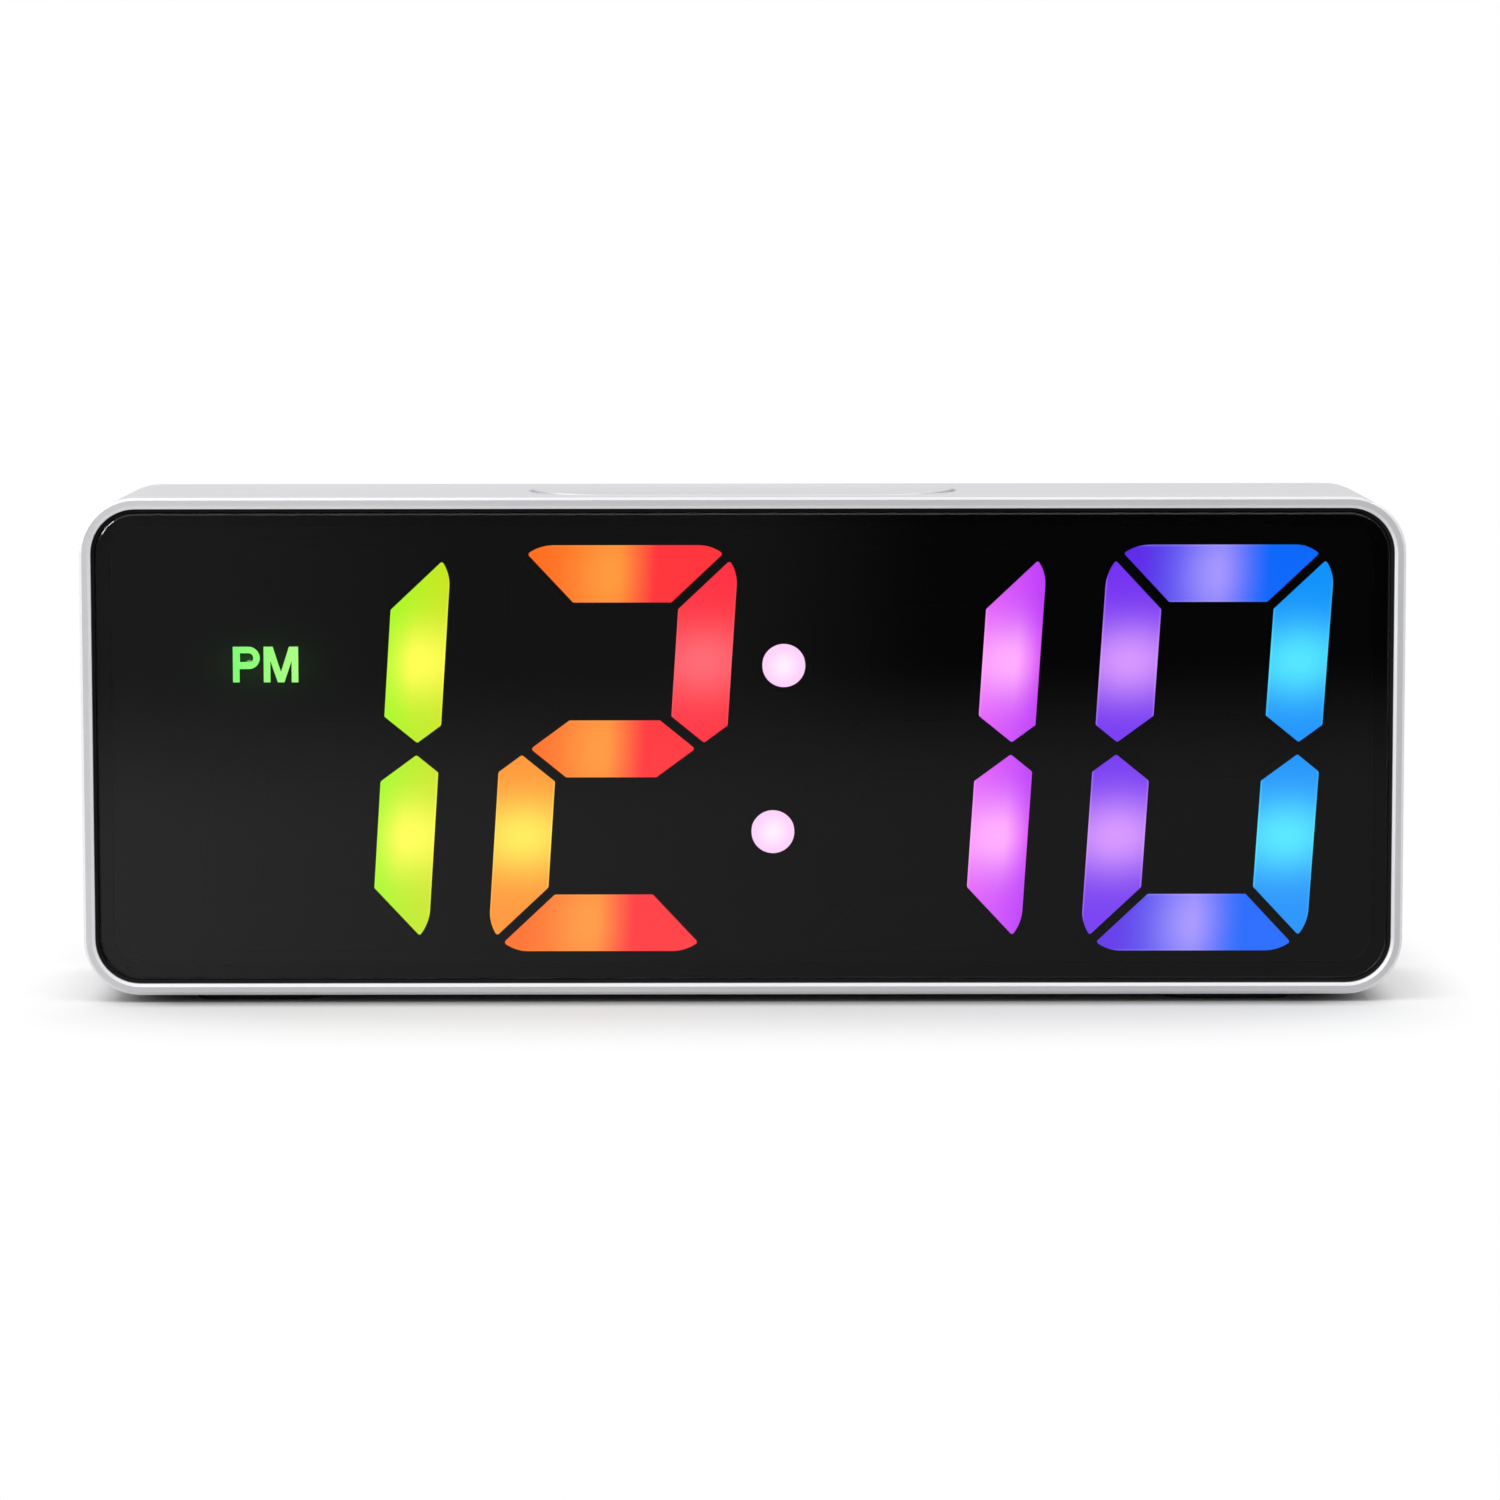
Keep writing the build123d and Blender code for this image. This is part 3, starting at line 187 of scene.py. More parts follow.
class ClockDisplaySettings(bpy.types.PropertyGroup):
    """Colours of the lit display: columns and bars of each digit, away from the lamps and over them."""
    strength: amount("Strength", "Light of the lit inserts behind the window", 4.0)
    spill: share("Spill", "Share of the display's light that falls on the things around", 0.25)
    # Painted glow: the light box itself gives off green light round the indicator
    painted_halo: share("Halo", "Glow of the light box round the indicator", 0.016)
    halo_width: length("Halo width", "Spread of that glow across", 0.004)
    halo_height: length("Halo height", "Spread of that glow up and down", 0.0022)
    slant: amount("Slant", "Lean of the digits, across over up", 0.066)
    widest_share: share("Widest share", "Where a digit is widest, over its half height", 0.8)
    point_slope: share("Point slope", "Rise over run of the middle bar's pointed ends", 0.77)
    stroke: length("Stroke", "Width of a segment", 0.0071)
    spot_along: length("Spot length", "Spread of a lamp's bright spot along its segment", 0.0033)
    spot_across: length("Spot width", "Spread of a lamp's bright spot across its segment", 0.0046)
    hem: length("Hem", "Width of the bright edge along a segment", 0.00025)
    hem_light: share("Hem light", "Light of that edge over the light of a lamp's spot", 0.3)
    insert_dullness: share("Insert dullness", "How much of an insert's own colour is taken away", 0.7)
    insert_roughness: share("Insert roughness", "How dull the lit inserts are", 0.35)
    paling: share("Paling", "How much paler the lowest segments are", 0.018)
    hour_tens_inner: tint("Hour tens, inner", "Left side of the first digit's columns", 160, 246, 22)
    hour_tens_outer: tint("Hour tens, outer", "Right side of the first digit's columns", 200, 226, 20)
    hour_tens_heart: tint("Hour tens, lamp", "Over the first digit's lamps", 255, 252, 80)
    hour_units_left: tint("Hour units, left", "Left column of the second digit", 252, 147, 40)
    hour_units_right: tint("Hour units, right", "Right column of the second digit", 251, 42, 60)
    hour_units_left_heart: tint("Hour units, left lamp", "Over the left column's lamps", 254, 232, 84)
    hour_units_right_heart: tint("Hour units, right lamp", "Over the right column's lamps", 252, 102, 112)
    hour_units_bar_left: tint("Hour units, bars left", "Left end of the second digit's bars", 253, 108, 20)
    hour_units_bar_right: tint("Hour units, bars right", "Right end of the second digit's bars", 252, 46, 54)
    hour_units_bar_middle: tint("Hour units, middle", "Just left of the middle of the bars", 253, 117, 35)
    hour_units_bar_shift: length("Hour units, shift", "Where the bars' lamps are, from the middle", -0.0015)
    hour_units_bar_heart: tint("Hour units, bar lamp", "Over the bars' lamps", 254, 152, 56)
    minute_tens_inner: tint("Minute tens, inner", "Left side of the third digit's columns", 224, 92, 247)
    minute_tens_outer: tint("Minute tens, outer", "Right side of the third digit's columns", 186, 58, 247)
    minute_tens_heart: tint("Minute tens, lamp", "Over the third digit's lamps", 255, 170, 252)
    minute_units_left: tint("Minute units, left", "Left column of the fourth digit", 114, 48, 238)
    minute_units_right: tint("Minute units, right", "Right column of the fourth digit", 2, 144, 248)
    minute_units_left_heart: tint("Minute units, left lamp", "Over the left column's lamps", 212, 148, 252)
    minute_units_right_heart: tint("Minute units, right lamp", "Over the right column's lamps", 80, 228, 254)
    minute_units_bar_left: tint("Minute units, bars left", "Left end of the fourth digit's bars", 92, 40, 230)
    minute_units_bar_right: tint("Minute units, bars right", "Right end of these bars", 1, 102, 248)
    minute_units_bar_heart: tint("Minute units, bar lamp", "Over the bars' lamps", 164, 148, 253)
    colon: tint("Colon", "Rim of the two dots", 252, 208, 248)
    colon_heart: tint("Colon lamp", "Middle of the two dots", 255, 240, 255)
    colon_radius: length("Colon radius", "Radius of the two dots", 0.00268)
    indicator_left: tint("Indicator, left", "First letter of the afternoon indicator", 124, 248, 112)
    indicator_right: tint("Indicator, right", "Second letter of the afternoon indicator", 172, 250, 130)


class ClockStageSettings(bpy.types.PropertyGroup):
    """Camera, lamps and table."""
    camera_distance: length("Camera distance", "From the camera to the middle of the face", 0.696)
    camera_elevation: angle("Camera elevation", "Angle at which the camera looks down", 5.85)
    camera_roll: angle("Camera roll", "Small turn of the camera about its own axis", -0.065)
    camera_lens: amount("Lens", "Focal length in millimetres", 133.95)
    camera_sensor: amount("Sensor", "Width of the camera's sensor in millimetres", 36.0)
    camera_near: length("Camera near", "Nothing nearer than this is drawn", 0.01)
    aim_across: length("Aim across", "Where the camera aims on the face, from its middle", 0.0009)
    aim_height: length("Aim height", "Where the camera aims on the face, from the table", 0.03178)
    table: tint("Table", "Pale table top", 247, 247, 247)
    table_radius: length("Table radius", "Radius of the table's disc", 6.0)
    table_speck: tint("Table speck", "Faint specks in the table top", 231, 231, 231)
    # Painted contact shadow: the table's colour goes dark under the case and just in front of it
    painted_shadow_depth: share("Contact shade", "How dark the table is under the case", 0.58)
    painted_shadow_reach: length("Contact reach", "How far that dark fades out in front of the case", 0.0045)
    painted_shadow_corner: length("Contact corner", "Where it fades out under the round lower corners", 0.014)
    shadow_near: length("Shadow near", "Up to here from the case the table's shading is seen in full", 0.01)
    shadow_far: length("Shadow far", "From here on the table is plain white to the eye", 0.07)
    shadow_sides: amount("Shadow sides", "How much sooner that happens beside the case", 6.0)
    # Painted reflection: how strongly the table glows in mirror rays, laid out as a studio round it
    mirror_start: length("Mirror start", "From here on reflections show the studio", 0.008)
    mirror_front: length("Mirror front", "Where the studio's light is full in reflections", 0.02)
    near_right: share("Near right", "Mirrored light of the near table, far right", 0.44)
    near_fall: amount("Near fall", "How soon that light falls off from the left", 2.2)
    far_left: share("Far left", "Mirrored light past the table, left", 0.45)
    far_middle: share("Far middle", "Mirrored light past the table, middle", 0.25)
    far_right: share("Far right", "Mirrored light past the table, right", 0.03)
    reach_start: length("Reach start", "Where the table starts to end in reflections", 0.1505)
    reach_end: length("Reach end", "Where the table has ended in reflections", 0.473)
    reach_slope: length("Reach slope", "How much farther the table reaches at the right", 0.06)
    wall_start: length("Wall start", "Where a bright wall starts in reflections", 1.02)
    wall_full: length("Wall full", "Where that wall is fully bright", 1.2)
    overhead_place: position("Overhead place", "Large soft lamp above", 0.0, -0.12, 0.95)
    overhead_aim: position("Overhead aim", "Where the overhead lamp points", 0.0, -0.02, 0.0)
    overhead_size: length("Overhead size", "Side of the overhead lamp", 1.6)
    overhead_power: wattage("Overhead power", "Light of the overhead lamp", 11.0)
    left_place: position("Left place", "Soft lamp at the front left", -0.8, -0.5, 0.45)
    left_size: length("Left size", "Side of the left lamp", 0.6)
    left_power: wattage("Left power", "Light of the left lamp", 1.2)
    glint_place: position("Glint place", "Strip that shows only in polished edges", -0.83, -0.52, 0.62)
    glint_width: length("Glint width", "Width of the strip", 0.2)
    glint_height: length("Glint height", "Height of the strip", 0.6)
    glint_power: wattage("Glint power", "Light of the strip", 10.0)
    ambient: share("Ambient", "Light from all round", 0.5)


def linear(colour):
    """A screen colour as scene-linear light, with an alpha of 1."""
    return tuple(c / 12.92 if c <= 0.04045 else ((c + 0.055) / 1.055) ** 2.4 for c in colour) + (1.0,)


def scaled(colour, factor, lift=0.0):
    """A linear colour that is paler or darker by a factor, with an even lift."""
    return tuple(part * factor + lift for part in colour[:3]) + (1.0,)


class Signal:
    """An output socket of a node tree; Python's operators on it add Math nodes."""

    def __init__(self, tree, socket):
        self.tree = tree
        self.socket = socket

    def maths(self, operation, *terms):
        """Adds one Math node on the given terms."""
        return self.tree.add("ShaderNodeMath", {"operation": operation}, dict(enumerate(terms)))

    def part(self, name):
        """Another output of the same node."""
        return Signal(self.tree, self.socket.node.outputs[name])

    def __add__(self, other):
        return self.maths("ADD", self, other)

    def __sub__(self, other):
        return self.maths("SUBTRACT", self, other)

    def __rsub__(self, other):
        return self.maths("SUBTRACT", other, self)

    def __mul__(self, other):
        return self.maths("MULTIPLY", self, other)

    def __truediv__(self, other):
        return self.maths("DIVIDE", self, other)

    def __rtruediv__(self, other):
        return self.maths("DIVIDE", other, self)

    def __pow__(self, other):
        return self.maths("POWER", self, other)

    def __gt__(self, other):
        return self.maths("GREATER_THAN", self, other)

    def __lt__(self, other):
        return self.maths("LESS_THAN", self, other)

    def __abs__(self):
        return self.maths("ABSOLUTE", self)

    __radd__ = __add__
    __rmul__ = __mul__

    def at_most(self, other):
        """The smaller of two values."""
        return self.maths("MINIMUM", self, other)

    def at_least(self, other):
        """The larger of two values."""
        return self.maths("MAXIMUM", self, other)

    def root(self):
        """The square root."""
        return self.maths("SQRT", self)

    def fraction(self):
        """What is left after the whole number."""
        return self.maths("FRACT", self)

    def bell(self, spread):
        """A bell curve of the value, 1 at zero."""
        steps = self / spread
        return self.maths("EXPONENT", steps * steps * -0.5)

    def rise(self, low, high):
        """A smooth step from 0 at low to 1 at high."""
        return self.tree.add("ShaderNodeMapRange", {"interpolation_type": "SMOOTHSTEP"},
                             {"Value": self, "From Min": low, "From Max": high})


class Tree:
    """A node tree under construction."""

    def __init__(self, node_tree):
        self.node_tree = node_tree

    def add(self, kind, settings, sockets, output=0):
        """Adds a node: its settings first, then its sockets' values or links. Gives one output."""
        node = self.node_tree.nodes.new(kind)
        for name, value in settings.items():
            if name == "stops":
                for place, colour in value[1:-1]:
                    node.color_ramp.elements.new(place).color = colour
                elements = sorted(node.color_ramp.elements, key=lambda element: element.position)
                for element, (place, colour) in ((elements[0], value[0]), (elements[-1], value[-1])):
                    element.position = place
                    element.color = colour
            else:
                setattr(node, name, value)
        self.fill(node, sockets)
        return Signal(self, node.outputs[output])

    def fill(self, node, sockets):
        """Sets or links the sockets of a node."""
        for key, value in sockets.items():
            if isinstance(value, Signal):
                self.node_tree.links.new(value.socket, node.inputs[key])
            else:
                node.inputs[key].default_value = value

    def blend(self, factor, first, second):
        """A colour between two others."""
        return self.add("ShaderNodeMix", {"data_type": "RGBA"}, {0: factor, 6: first, 7: second}, 2)

    def seen(self):
        """1 for rays from the eye and from mirrors, 0 for the light that falls on other things."""
        ray = self.add("ShaderNodeLightPath", {}, {}, "Is Camera Ray")
        return ray.at_least(ray.part("Is Glossy Ray")).at_least(ray.part("Is Transmission Ray"))

    def ramp(self, factor, stops):
        """A colour along a row of stops."""
        return self.add("ShaderNodeValToRGB", {"stops": stops}, {"Fac": factor}, "Color")


class Finish(Tree):
    """One procedural material on a Principled surface, in the clock's own metres."""

    def __init__(self, name, constants):
        self.material = bpy.data.materials.new(name)
        self.material.use_nodes = True
        super().__init__(self.material.node_tree)
        self.surface = self.node_tree.nodes["Principled BSDF"]
        self.fill(self.surface, constants)
        self.place = self.add("ShaderNodeTexCoord", {}, {}, "Object")
        self.x = self.add("ShaderNodeSeparateXYZ", {}, {"Vector": self.place}, "X")
        self.y = self.x.part("Y")
        self.z = self.x.part("Z")

    def noise(self, across, up=None, deep=None, detail=2.0):
        """Noise with features of the given sizes along x, z and y."""
        sizes = (1 / across, 1 / (deep or across), 1 / (up or across))
        place = self.add("ShaderNodeVectorMath", {"operation": "MULTIPLY"}, {0: self.place, 1: sizes})
        return self.add("ShaderNodeTexNoise", {}, {"Vector": place, "Scale": 1.0, "Detail": detail}, "Fac")

    def shape(self, sockets):
        """Sets or links sockets of the surface."""
        self.fill(self.surface, sockets)

    def bump(self, height, depth):
        """Raises the surface by a height of 0 to 1 times a depth in metres."""
        normal = self.add("ShaderNodeBump", {}, {"Height": height, "Distance": depth, "Strength": 1.0})
        self.shape({"Normal": normal})

    def glow(self, colour, display):
        """Shines in a colour, with only a share of it on the things around."""
        full = self.seen() * (1 - display.spill) + display.spill
        self.shape({"Emission Strength": display.strength, "Emission Color": self.blend(full, BLACK, colour)})

    def facing(self, axis):
        """How squarely the surface faces along an axis, either way, from 0 to 1."""
        normal = self.add("ShaderNodeTexCoord", {}, {}, "Normal")
        return abs(self.add("ShaderNodeSeparateXYZ", {}, {"Vector": normal}, axis))

    def dress(self, *names):
        """Puts the finish on CAD nodes."""
        for name in names:
            slots = NODES[name].data.materials
            slots.clear()
            slots.append(self.material)


def brushed_silver(settings):
    """Satin silver with hairlines that run round the sleeve, and a painted highlight on the bevels round the
    front: a paler, less metallic colour there.
    """
    finish = Finish("brushed_silver", {"Specular IOR Level": settings.silver_gloss,
                                       "Specular Tint": linear(settings.silver_grazing)})
    low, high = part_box("case_shell")
    # Painted highlight on the front bevels: a paler colour and less metal, so they look bright whatever the
    # lamps show in them
    cut = (finish.y > low.y + FLUSH) * (finish.y < low.y + settings.edge_depth - FLUSH)
    edge = cut * (finish.z < high.z - settings.edge_clear)
    streak = finish.noise(HAIRLINE_LENGTH, deep=settings.hairline, detail=4.0)
    grain = finish.noise(settings.hairline / 2, detail=1.0)
    cloud = finish.noise(CLOUD, detail=3.0)
    colour = finish.blend(streak.rise(0.25, 0.75), linear(settings.silver_shade), linear(settings.silver))
    colour = finish.blend(cloud.rise(*CONTRAST) * 0.25, colour, linear(settings.silver_shade))
    finish.shape({
        "Base Color": finish.blend(edge, colour, linear(settings.silver_edge_highlight)),
        "Metallic": settings.silver_metal - edge * 0.2,
        "Roughness": settings.silver_roughness + streak * 0.08 + grain * 0.05,
    })
    finish.bump(streak * 0.6 + grain * 0.4, 6 * MICRON)
    return finish


def smoked_acrylic(settings):
    """Polished dark window that lets part of the display's light through."""
    finish = Finish("smoked_acrylic", {"IOR": settings.window_index, "Alpha": settings.window_opacity})
    smear = finish.noise(SMEAR_WIDTH, up=SMEAR_HEIGHT, detail=3.0)
    dust = finish.noise(DUST, detail=0.0)
    tone = linear(settings.window_tint)
    finish.shape({
        "Base Color": finish.blend(smear, tone, scaled(tone, 1.4)),
        "Roughness": 0.02 + smear.rise(0.45, 0.9) * 0.03 + dust.rise(0.72, 0.8) * 0.05,
    })
    return finish


def moulded(name, colour, roughness, grain, depth, gloss=0.5):
    """Moulded plastic with a spark-eroded grain."""
    finish = Finish(name, {"Specular IOR Level": gloss})
    texture = finish.noise(grain)
    patch = finish.noise(PATCH, detail=3.0)
    base = linear(colour)
    pale = scaled(base, 1.25, 0.002)
    finish.shape({
        "Base Color": finish.blend(texture.rise(*CONTRAST) * 0.6 + patch * 0.3, base, pale),
        "Roughness": roughness - 0.05 + patch * 0.1,
    })
    finish.bump(texture, depth)
    return finish


def plated(name, colour, roughness):
    """Bright plated metal with faint draw marks."""
    finish = Finish(name, {"Metallic": 1.0})
    marks = finish.noise(DRAW_WIDTH, up=DRAW_LENGTH, deep=DRAW_LENGTH, detail=3.0)
    haze = finish.noise(HAZE, detail=3.0)
    base = linear(colour)
    finish.shape({
        "Base Color": finish.blend(haze.rise(*CONTRAST), base, scaled(base, 0.82)),
        "Roughness": roughness + marks * 0.12,
    })
    finish.bump(marks, 3 * MICRON)
    return finish


def lamp_spots(finish, middle, half_width, half_height, display, bar_shift):
    """A digit's lit pattern: shares from its middle, a mask of its columns, lamp spots and bright edges."""
    up = finish.z - middle.z
    across = finish.x - middle.x - up * display.slant
    side = abs(across)
    rise = abs(up)
    stroke = display.stroke
    shoulder = half_width - stroke / 2
    level = half_height - stroke / 2
    past_middle_bar = rise > (shoulder - side) * display.point_slope
    column = ((side - half_width) > (rise - half_height)) * past_middle_bar
    on_column = (rise - level / 2).bell(display.spot_along) * (side - shoulder).bell(display.spot_across)
    off_bar = rise.at_most(abs(rise - level))
    on_bar = (across - bar_shift).bell(display.spot_along) * off_bar.bell(display.spot_across)
    spot = column * on_column + (1 - column) * on_bar
    off_line = column * abs(side - shoulder) + (1 - column) * off_bar
    hem = off_line.rise(stroke / 2 - display.hem, stroke / 2)
    return across / half_width, up / half_height, column, spot, hem


def lit_digit(name, display, edges, hearts, bars, bar_hearts, bar_shift=0.0):
    """Glowing inserts of one digit: columns and bars shade from side to side and brighten over each lamp."""
    low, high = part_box(name + "_lit")
    other_low, other_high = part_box(name + "_unlit")
    low = Vector(map(min, low, other_low))
    high = Vector(map(max, high, other_high))
    middle = (low + high) / 2
    half_height = (high.z - low.z) / 2
    half_width = (high.x - low.x) / 2 - display.slant * display.widest_share * half_height
    finish = Finish("lit_" + name, {"Roughness": display.insert_roughness})
    across, up, column, spot, hem = lamp_spots(finish, middle, half_width, half_height, display, bar_shift)
    along = across * 0.5 + 0.5
    edge, heart, bar, bar_heart = (finish.ramp(along, [(place, linear(colour)) for place, colour in stops])
                                   for stops in (edges, hearts, bars, bar_hearts))
    grain = finish.noise(PORE, detail=1.0) * 0.06 + 0.97
    at_edge = finish.blend(column, bar, edge)
    at_heart = finish.blend(column, bar_heart, heart)
    colour = finish.blend((spot + hem * display.hem_light).at_most(1.0) * grain, at_edge, at_heart)
    colour = finish.blend((up * -0.5 + 0.5) * display.paling, colour, WHITE)
    finish.shape({"Base Color": finish.blend(display.insert_dullness, colour, INSERT_TONE)})
    finish.glow(colour, display)
    finish.dress(name + "_lit")


def words(text, height, place, material):
    """Flat printed words on the back, read from behind, as a piece that rides on the housing."""
    curve = bpy.data.curves.new("print_curve", "FONT")
    curve.body = text
    curve.size = height / CAPITAL_SHARE
    curve.align_x = "CENTER"
    curve.extrude = INK
    source = bpy.data.objects.new("print_source", curve)
    bpy.context.scene.collection.objects.link(source)
    bpy.context.view_layer.update()
    mesh = bpy.data.meshes.new_from_object(source.evaluated_get(bpy.context.evaluated_depsgraph_get()))
    bpy.data.objects.remove(source)
    about_face = Matrix(((-1, 0, 0, 0), (0, 0, 1, 0), (0, 1, 0, 0), (0, 0, 0, 1)))
    mesh.transform(Matrix.Translation(place) @ about_face)
    mesh.materials.clear()
    mesh.materials.append(material)
    name = "print_" + "".join(letter for letter in text.lower() if letter.isalnum())
    piece = bpy.data.objects.new(name, mesh)
    bpy.context.scene.collection.objects.link(piece)
    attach(piece, "housing")


class CLOCK_OT_case(bpy.types.Operator):
    """Brushed silver on the case and the snooze bar"""
    bl_idname = "clock.case"
    bl_label = "Case and snooze bar"

    def execute(self, context):
        brushed_silver(context.scene.clock_finishes).dress("case_shell", "snooze_bar")
        return {"FINISHED"}


class CLOCK_OT_window(bpy.types.Operator):
    """Smoked window and its foam seal"""
    bl_idname = "clock.window"
    bl_label = "Window"

    def execute(self, context):
        settings = context.scene.clock_finishes
        smoked_acrylic(settings).dress("display_window")
        self.seal(settings).dress("window_gasket")
        return {"FINISHED"}

    def seal(self, settings):
        """Black foam, glossy where it is glued to the window."""
        finish = Finish("foam_seal", {"Specular IOR Level": 0.25, "Coat Roughness": 0.04})
        glued = abs(finish.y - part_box("display_window")[1].y) < GLUE
        pores = finish.noise(PORE)
        base = linear(settings.mask)
        finish.shape({
            "Base Color": finish.blend(pores, base, scaled(base, 1.5)),
            "Roughness": 0.9 - glued * 0.86,
            "Coat Weight": glued * 0.33,
        })
        finish.bump(pores * (1 - glued), 40 * MICRON)
        return finish


class CLOCK_OT_light_box(bpy.types.Operator):
    """Black light box and the inserts that are off"""
    bl_idname = "clock.light_box"
    bl_label = "Light box"

    def execute(self, context):
        settings = context.scene.clock_finishes
        self.box(settings, context.scene.clock_display).dress("segment_mask")
        unlit = moulded("unlit_insert", settings.unlit, 0.75, FINE_GRAIN, 5 * MICRON, gloss=0.1)
        unlit.dress(*(digit + "_unlit" for digit in DIGITS))
        return {"FINISHED"}

    def box(self, settings, display):
        """Dull black with a painted green glow round the afternoon indicator, where its light would spill
        into the box.
        """
        finish = moulded("light_box", settings.mask, 0.8, FINE_GRAIN, 10 * MICRON, gloss=0.1)
        low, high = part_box("pm_indicator")
        middle = (low + high) / 2
        # Painted glow: the light box shines green round the indicator, as though the indicator's light
        # spilled into it
        painted_halo = (finish.x - middle.x).bell(display.halo_width)
        painted_halo *= (finish.z - middle.z).bell(display.halo_height)
        finish.glow(finish.blend(painted_halo * display.painted_halo, BLACK, linear(display.indicator_left)), display)
        return finish


class CLOCK_OT_digits(bpy.types.Operator):
    """Lit digits, colon and afternoon indicator"""
    bl_idname = "clock.digits"
    bl_label = "Lit display"

    def execute(self, context):
        display = context.scene.clock_display
        inner, outer, heart = display.hour_tens_inner, display.hour_tens_outer, display.hour_tens_heart
        lit_digit("hour_tens", display,
                  [(0.75, inner), (1.0, outer)],
                  [(0.7, inner), (0.86, heart), (1.0, heart)],
                  [(0.0, inner), (1.0, outer)],
                  [(0.0, heart), (1.0, heart)])
        lit_digit("hour_units", display,
                  [(0.3, display.hour_units_left), (0.7, display.hour_units_right)],
                  [(0.3, display.hour_units_left_heart), (0.7, display.hour_units_right_heart)],
                  [(0.15, display.hour_units_bar_left), (0.44, display.hour_units_bar_middle),
                   (0.63, display.hour_units_bar_right)],
                  [(0.48, display.hour_units_bar_heart), (0.65, display.hour_units_bar_right)],
                  bar_shift=display.hour_units_bar_shift)
        inner, outer, heart = display.minute_tens_inner, display.minute_tens_outer, display.minute_tens_heart
        lit_digit("minute_tens", display,
                  [(0.75, inner), (1.0, outer)],
                  [(0.75, heart), (0.9, heart), (1.0, inner)],
                  [(0.0, inner), (1.0, outer)],
                  [(0.0, heart), (1.0, heart)])
        lit_digit("minute_units", display,
                  [(0.3, display.minute_units_left), (0.7, display.minute_units_right)],
                  [(0.3, display.minute_units_left_heart), (0.7, display.minute_units_right_heart)],
                  [(0.15, display.minute_units_bar_left), (0.66, display.minute_units_bar_right)],
                  [(0.5, display.minute_units_bar_heart), (0.72, display.minute_units_bar_right)])
        self.colon(display)
        self.indicator(display)
        return {"FINISHED"}

    def colon(self, display):
        """Two pale dots, whitest in the middle."""
        low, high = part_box("colon_lenses")
        middle = (low + high) / 2
        finish = Finish("lit_colon", {"Roughness": display.insert_roughness, "Base Color": COLON_TONE})
        up = finish.z - middle.z
        level = (high.z - low.z) / 2 - display.colon_radius
        across = finish.x - middle.x - up * display.slant
        rise = abs(up) - level
        outward = (across * across + rise * rise).root().rise(0.0, display.colon_radius)
        speckle = finish.noise(FINE_GRAIN, detail=1.0) * 0.1
        colour = finish.blend(outward + speckle, linear(display.colon_heart), linear(display.colon))
        finish.glow(colour, display)
        finish.dress("colon_lenses")

    def indicator(self, display):
        """Two green letters, yellower to the right."""
        low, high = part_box("pm_indicator")
        finish = Finish("lit_indicator", {"Roughness": display.insert_roughness,
                                          "Base Color": INDICATOR_TONE})
        grain = finish.noise(FINE_GRAIN, detail=1.0) * 0.2 - 0.1
        along = (finish.x - low.x) / (high.x - low.x)
        colour = finish.blend(along + grain, linear(display.indicator_left), linear(display.indicator_right))
        finish.glow(colour, display)
        finish.dress("pm_indicator")


class CLOCK_OT_boards(bpy.types.Operator):
    """Circuit boards, lamps and the parts that they carry"""
    bl_idname = "clock.boards"
    bl_label = "Circuit boards"

    def execute(self, context):
        settings = context.scene.clock_finishes
        self.board(settings).dress("main_board", "key_board")
        resin = moulded("moulded_resin", settings.resin, 0.55, RESIN_GRAIN, 4 * MICRON)
        resin.dress("controller_chip", "driver_chips", "board_link", "buzzer",
                    "snooze_switch", "key_switches")
        moulded("lamp_body", settings.lamp, 0.3, LAMP_GRAIN, 4 * MICRON).dress("segment_leds")
        plungers = moulded("plunger_plastic", settings.plunger, 0.4, PORE, 4 * MICRON)
        plungers.dress("snooze_plunger", *(key + "_plunger" for key in KEYS))
        self.cans(settings).dress("filter_capacitors")
        plated("crystal_nickel", settings.nickel, 0.22).dress("crystal_can")
        return {"FINISHED"}

    def board(self, settings):
        """Green solder mask over copper tracks and plated holes."""
        finish = Finish("circuit_board", {"Specular IOR Level": 0.5})
        pitch = settings.track_pitch
        lane = abs((finish.z / pitch).fraction() - 0.5) < settings.track_share
        street = abs((finish.x / pitch).fraction() - 0.5) < settings.track_share
        district = finish.noise(DISTRICT_WIDTH, up=DISTRICT_HEIGHT, detail=1.0)
        tracks = lane * (district > 0.52) + street * (district < 0.46)
        off_x = (finish.x / (2 * pitch)).fraction() - 0.5
        off_z = (finish.z / (2 * pitch)).fraction() - 0.5
        ring = off_x * off_x + off_z * off_z
        holes = (ring < settings.hole_share) * (finish.noise(DISTRICT_HEIGHT, detail=0.0) > 0.58)
        green = finish.blend(tracks.at_most(1.0), linear(settings.board), linear(settings.copper))
        finish.shape({
            "Base Color": finish.blend(holes, green, linear(settings.nickel)),
            "Metallic": holes * 0.9,
            "Roughness": 0.42 - tracks * 0.06 - holes * 0.12,
        })
        finish.bump(tracks * 0.7 + holes, 20 * MICRON)
        return finish

    def cans(self, settings):
        """Sleeved cans with a bare top and a pale stripe."""
        finish = Finish("capacitor_can", {})
        low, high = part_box("filter_capacitors")
        bare = finish.y > high.y - settings.can_top
        stripe = (finish.facing("Z") > FLAT) * (finish.z > (low.z + high.z) / 2)
        sleeve = finish.blend(stripe, linear(settings.can), linear(settings.print_white))
        wear = finish.noise(SLEEVE_WEAR, detail=3.0)
        finish.shape({
            "Base Color": finish.blend(bare, sleeve, linear(settings.nickel)),
            "Metallic": bare * 1.0,
            "Roughness": 0.25 + wear * 0.15,
        })
        return finish


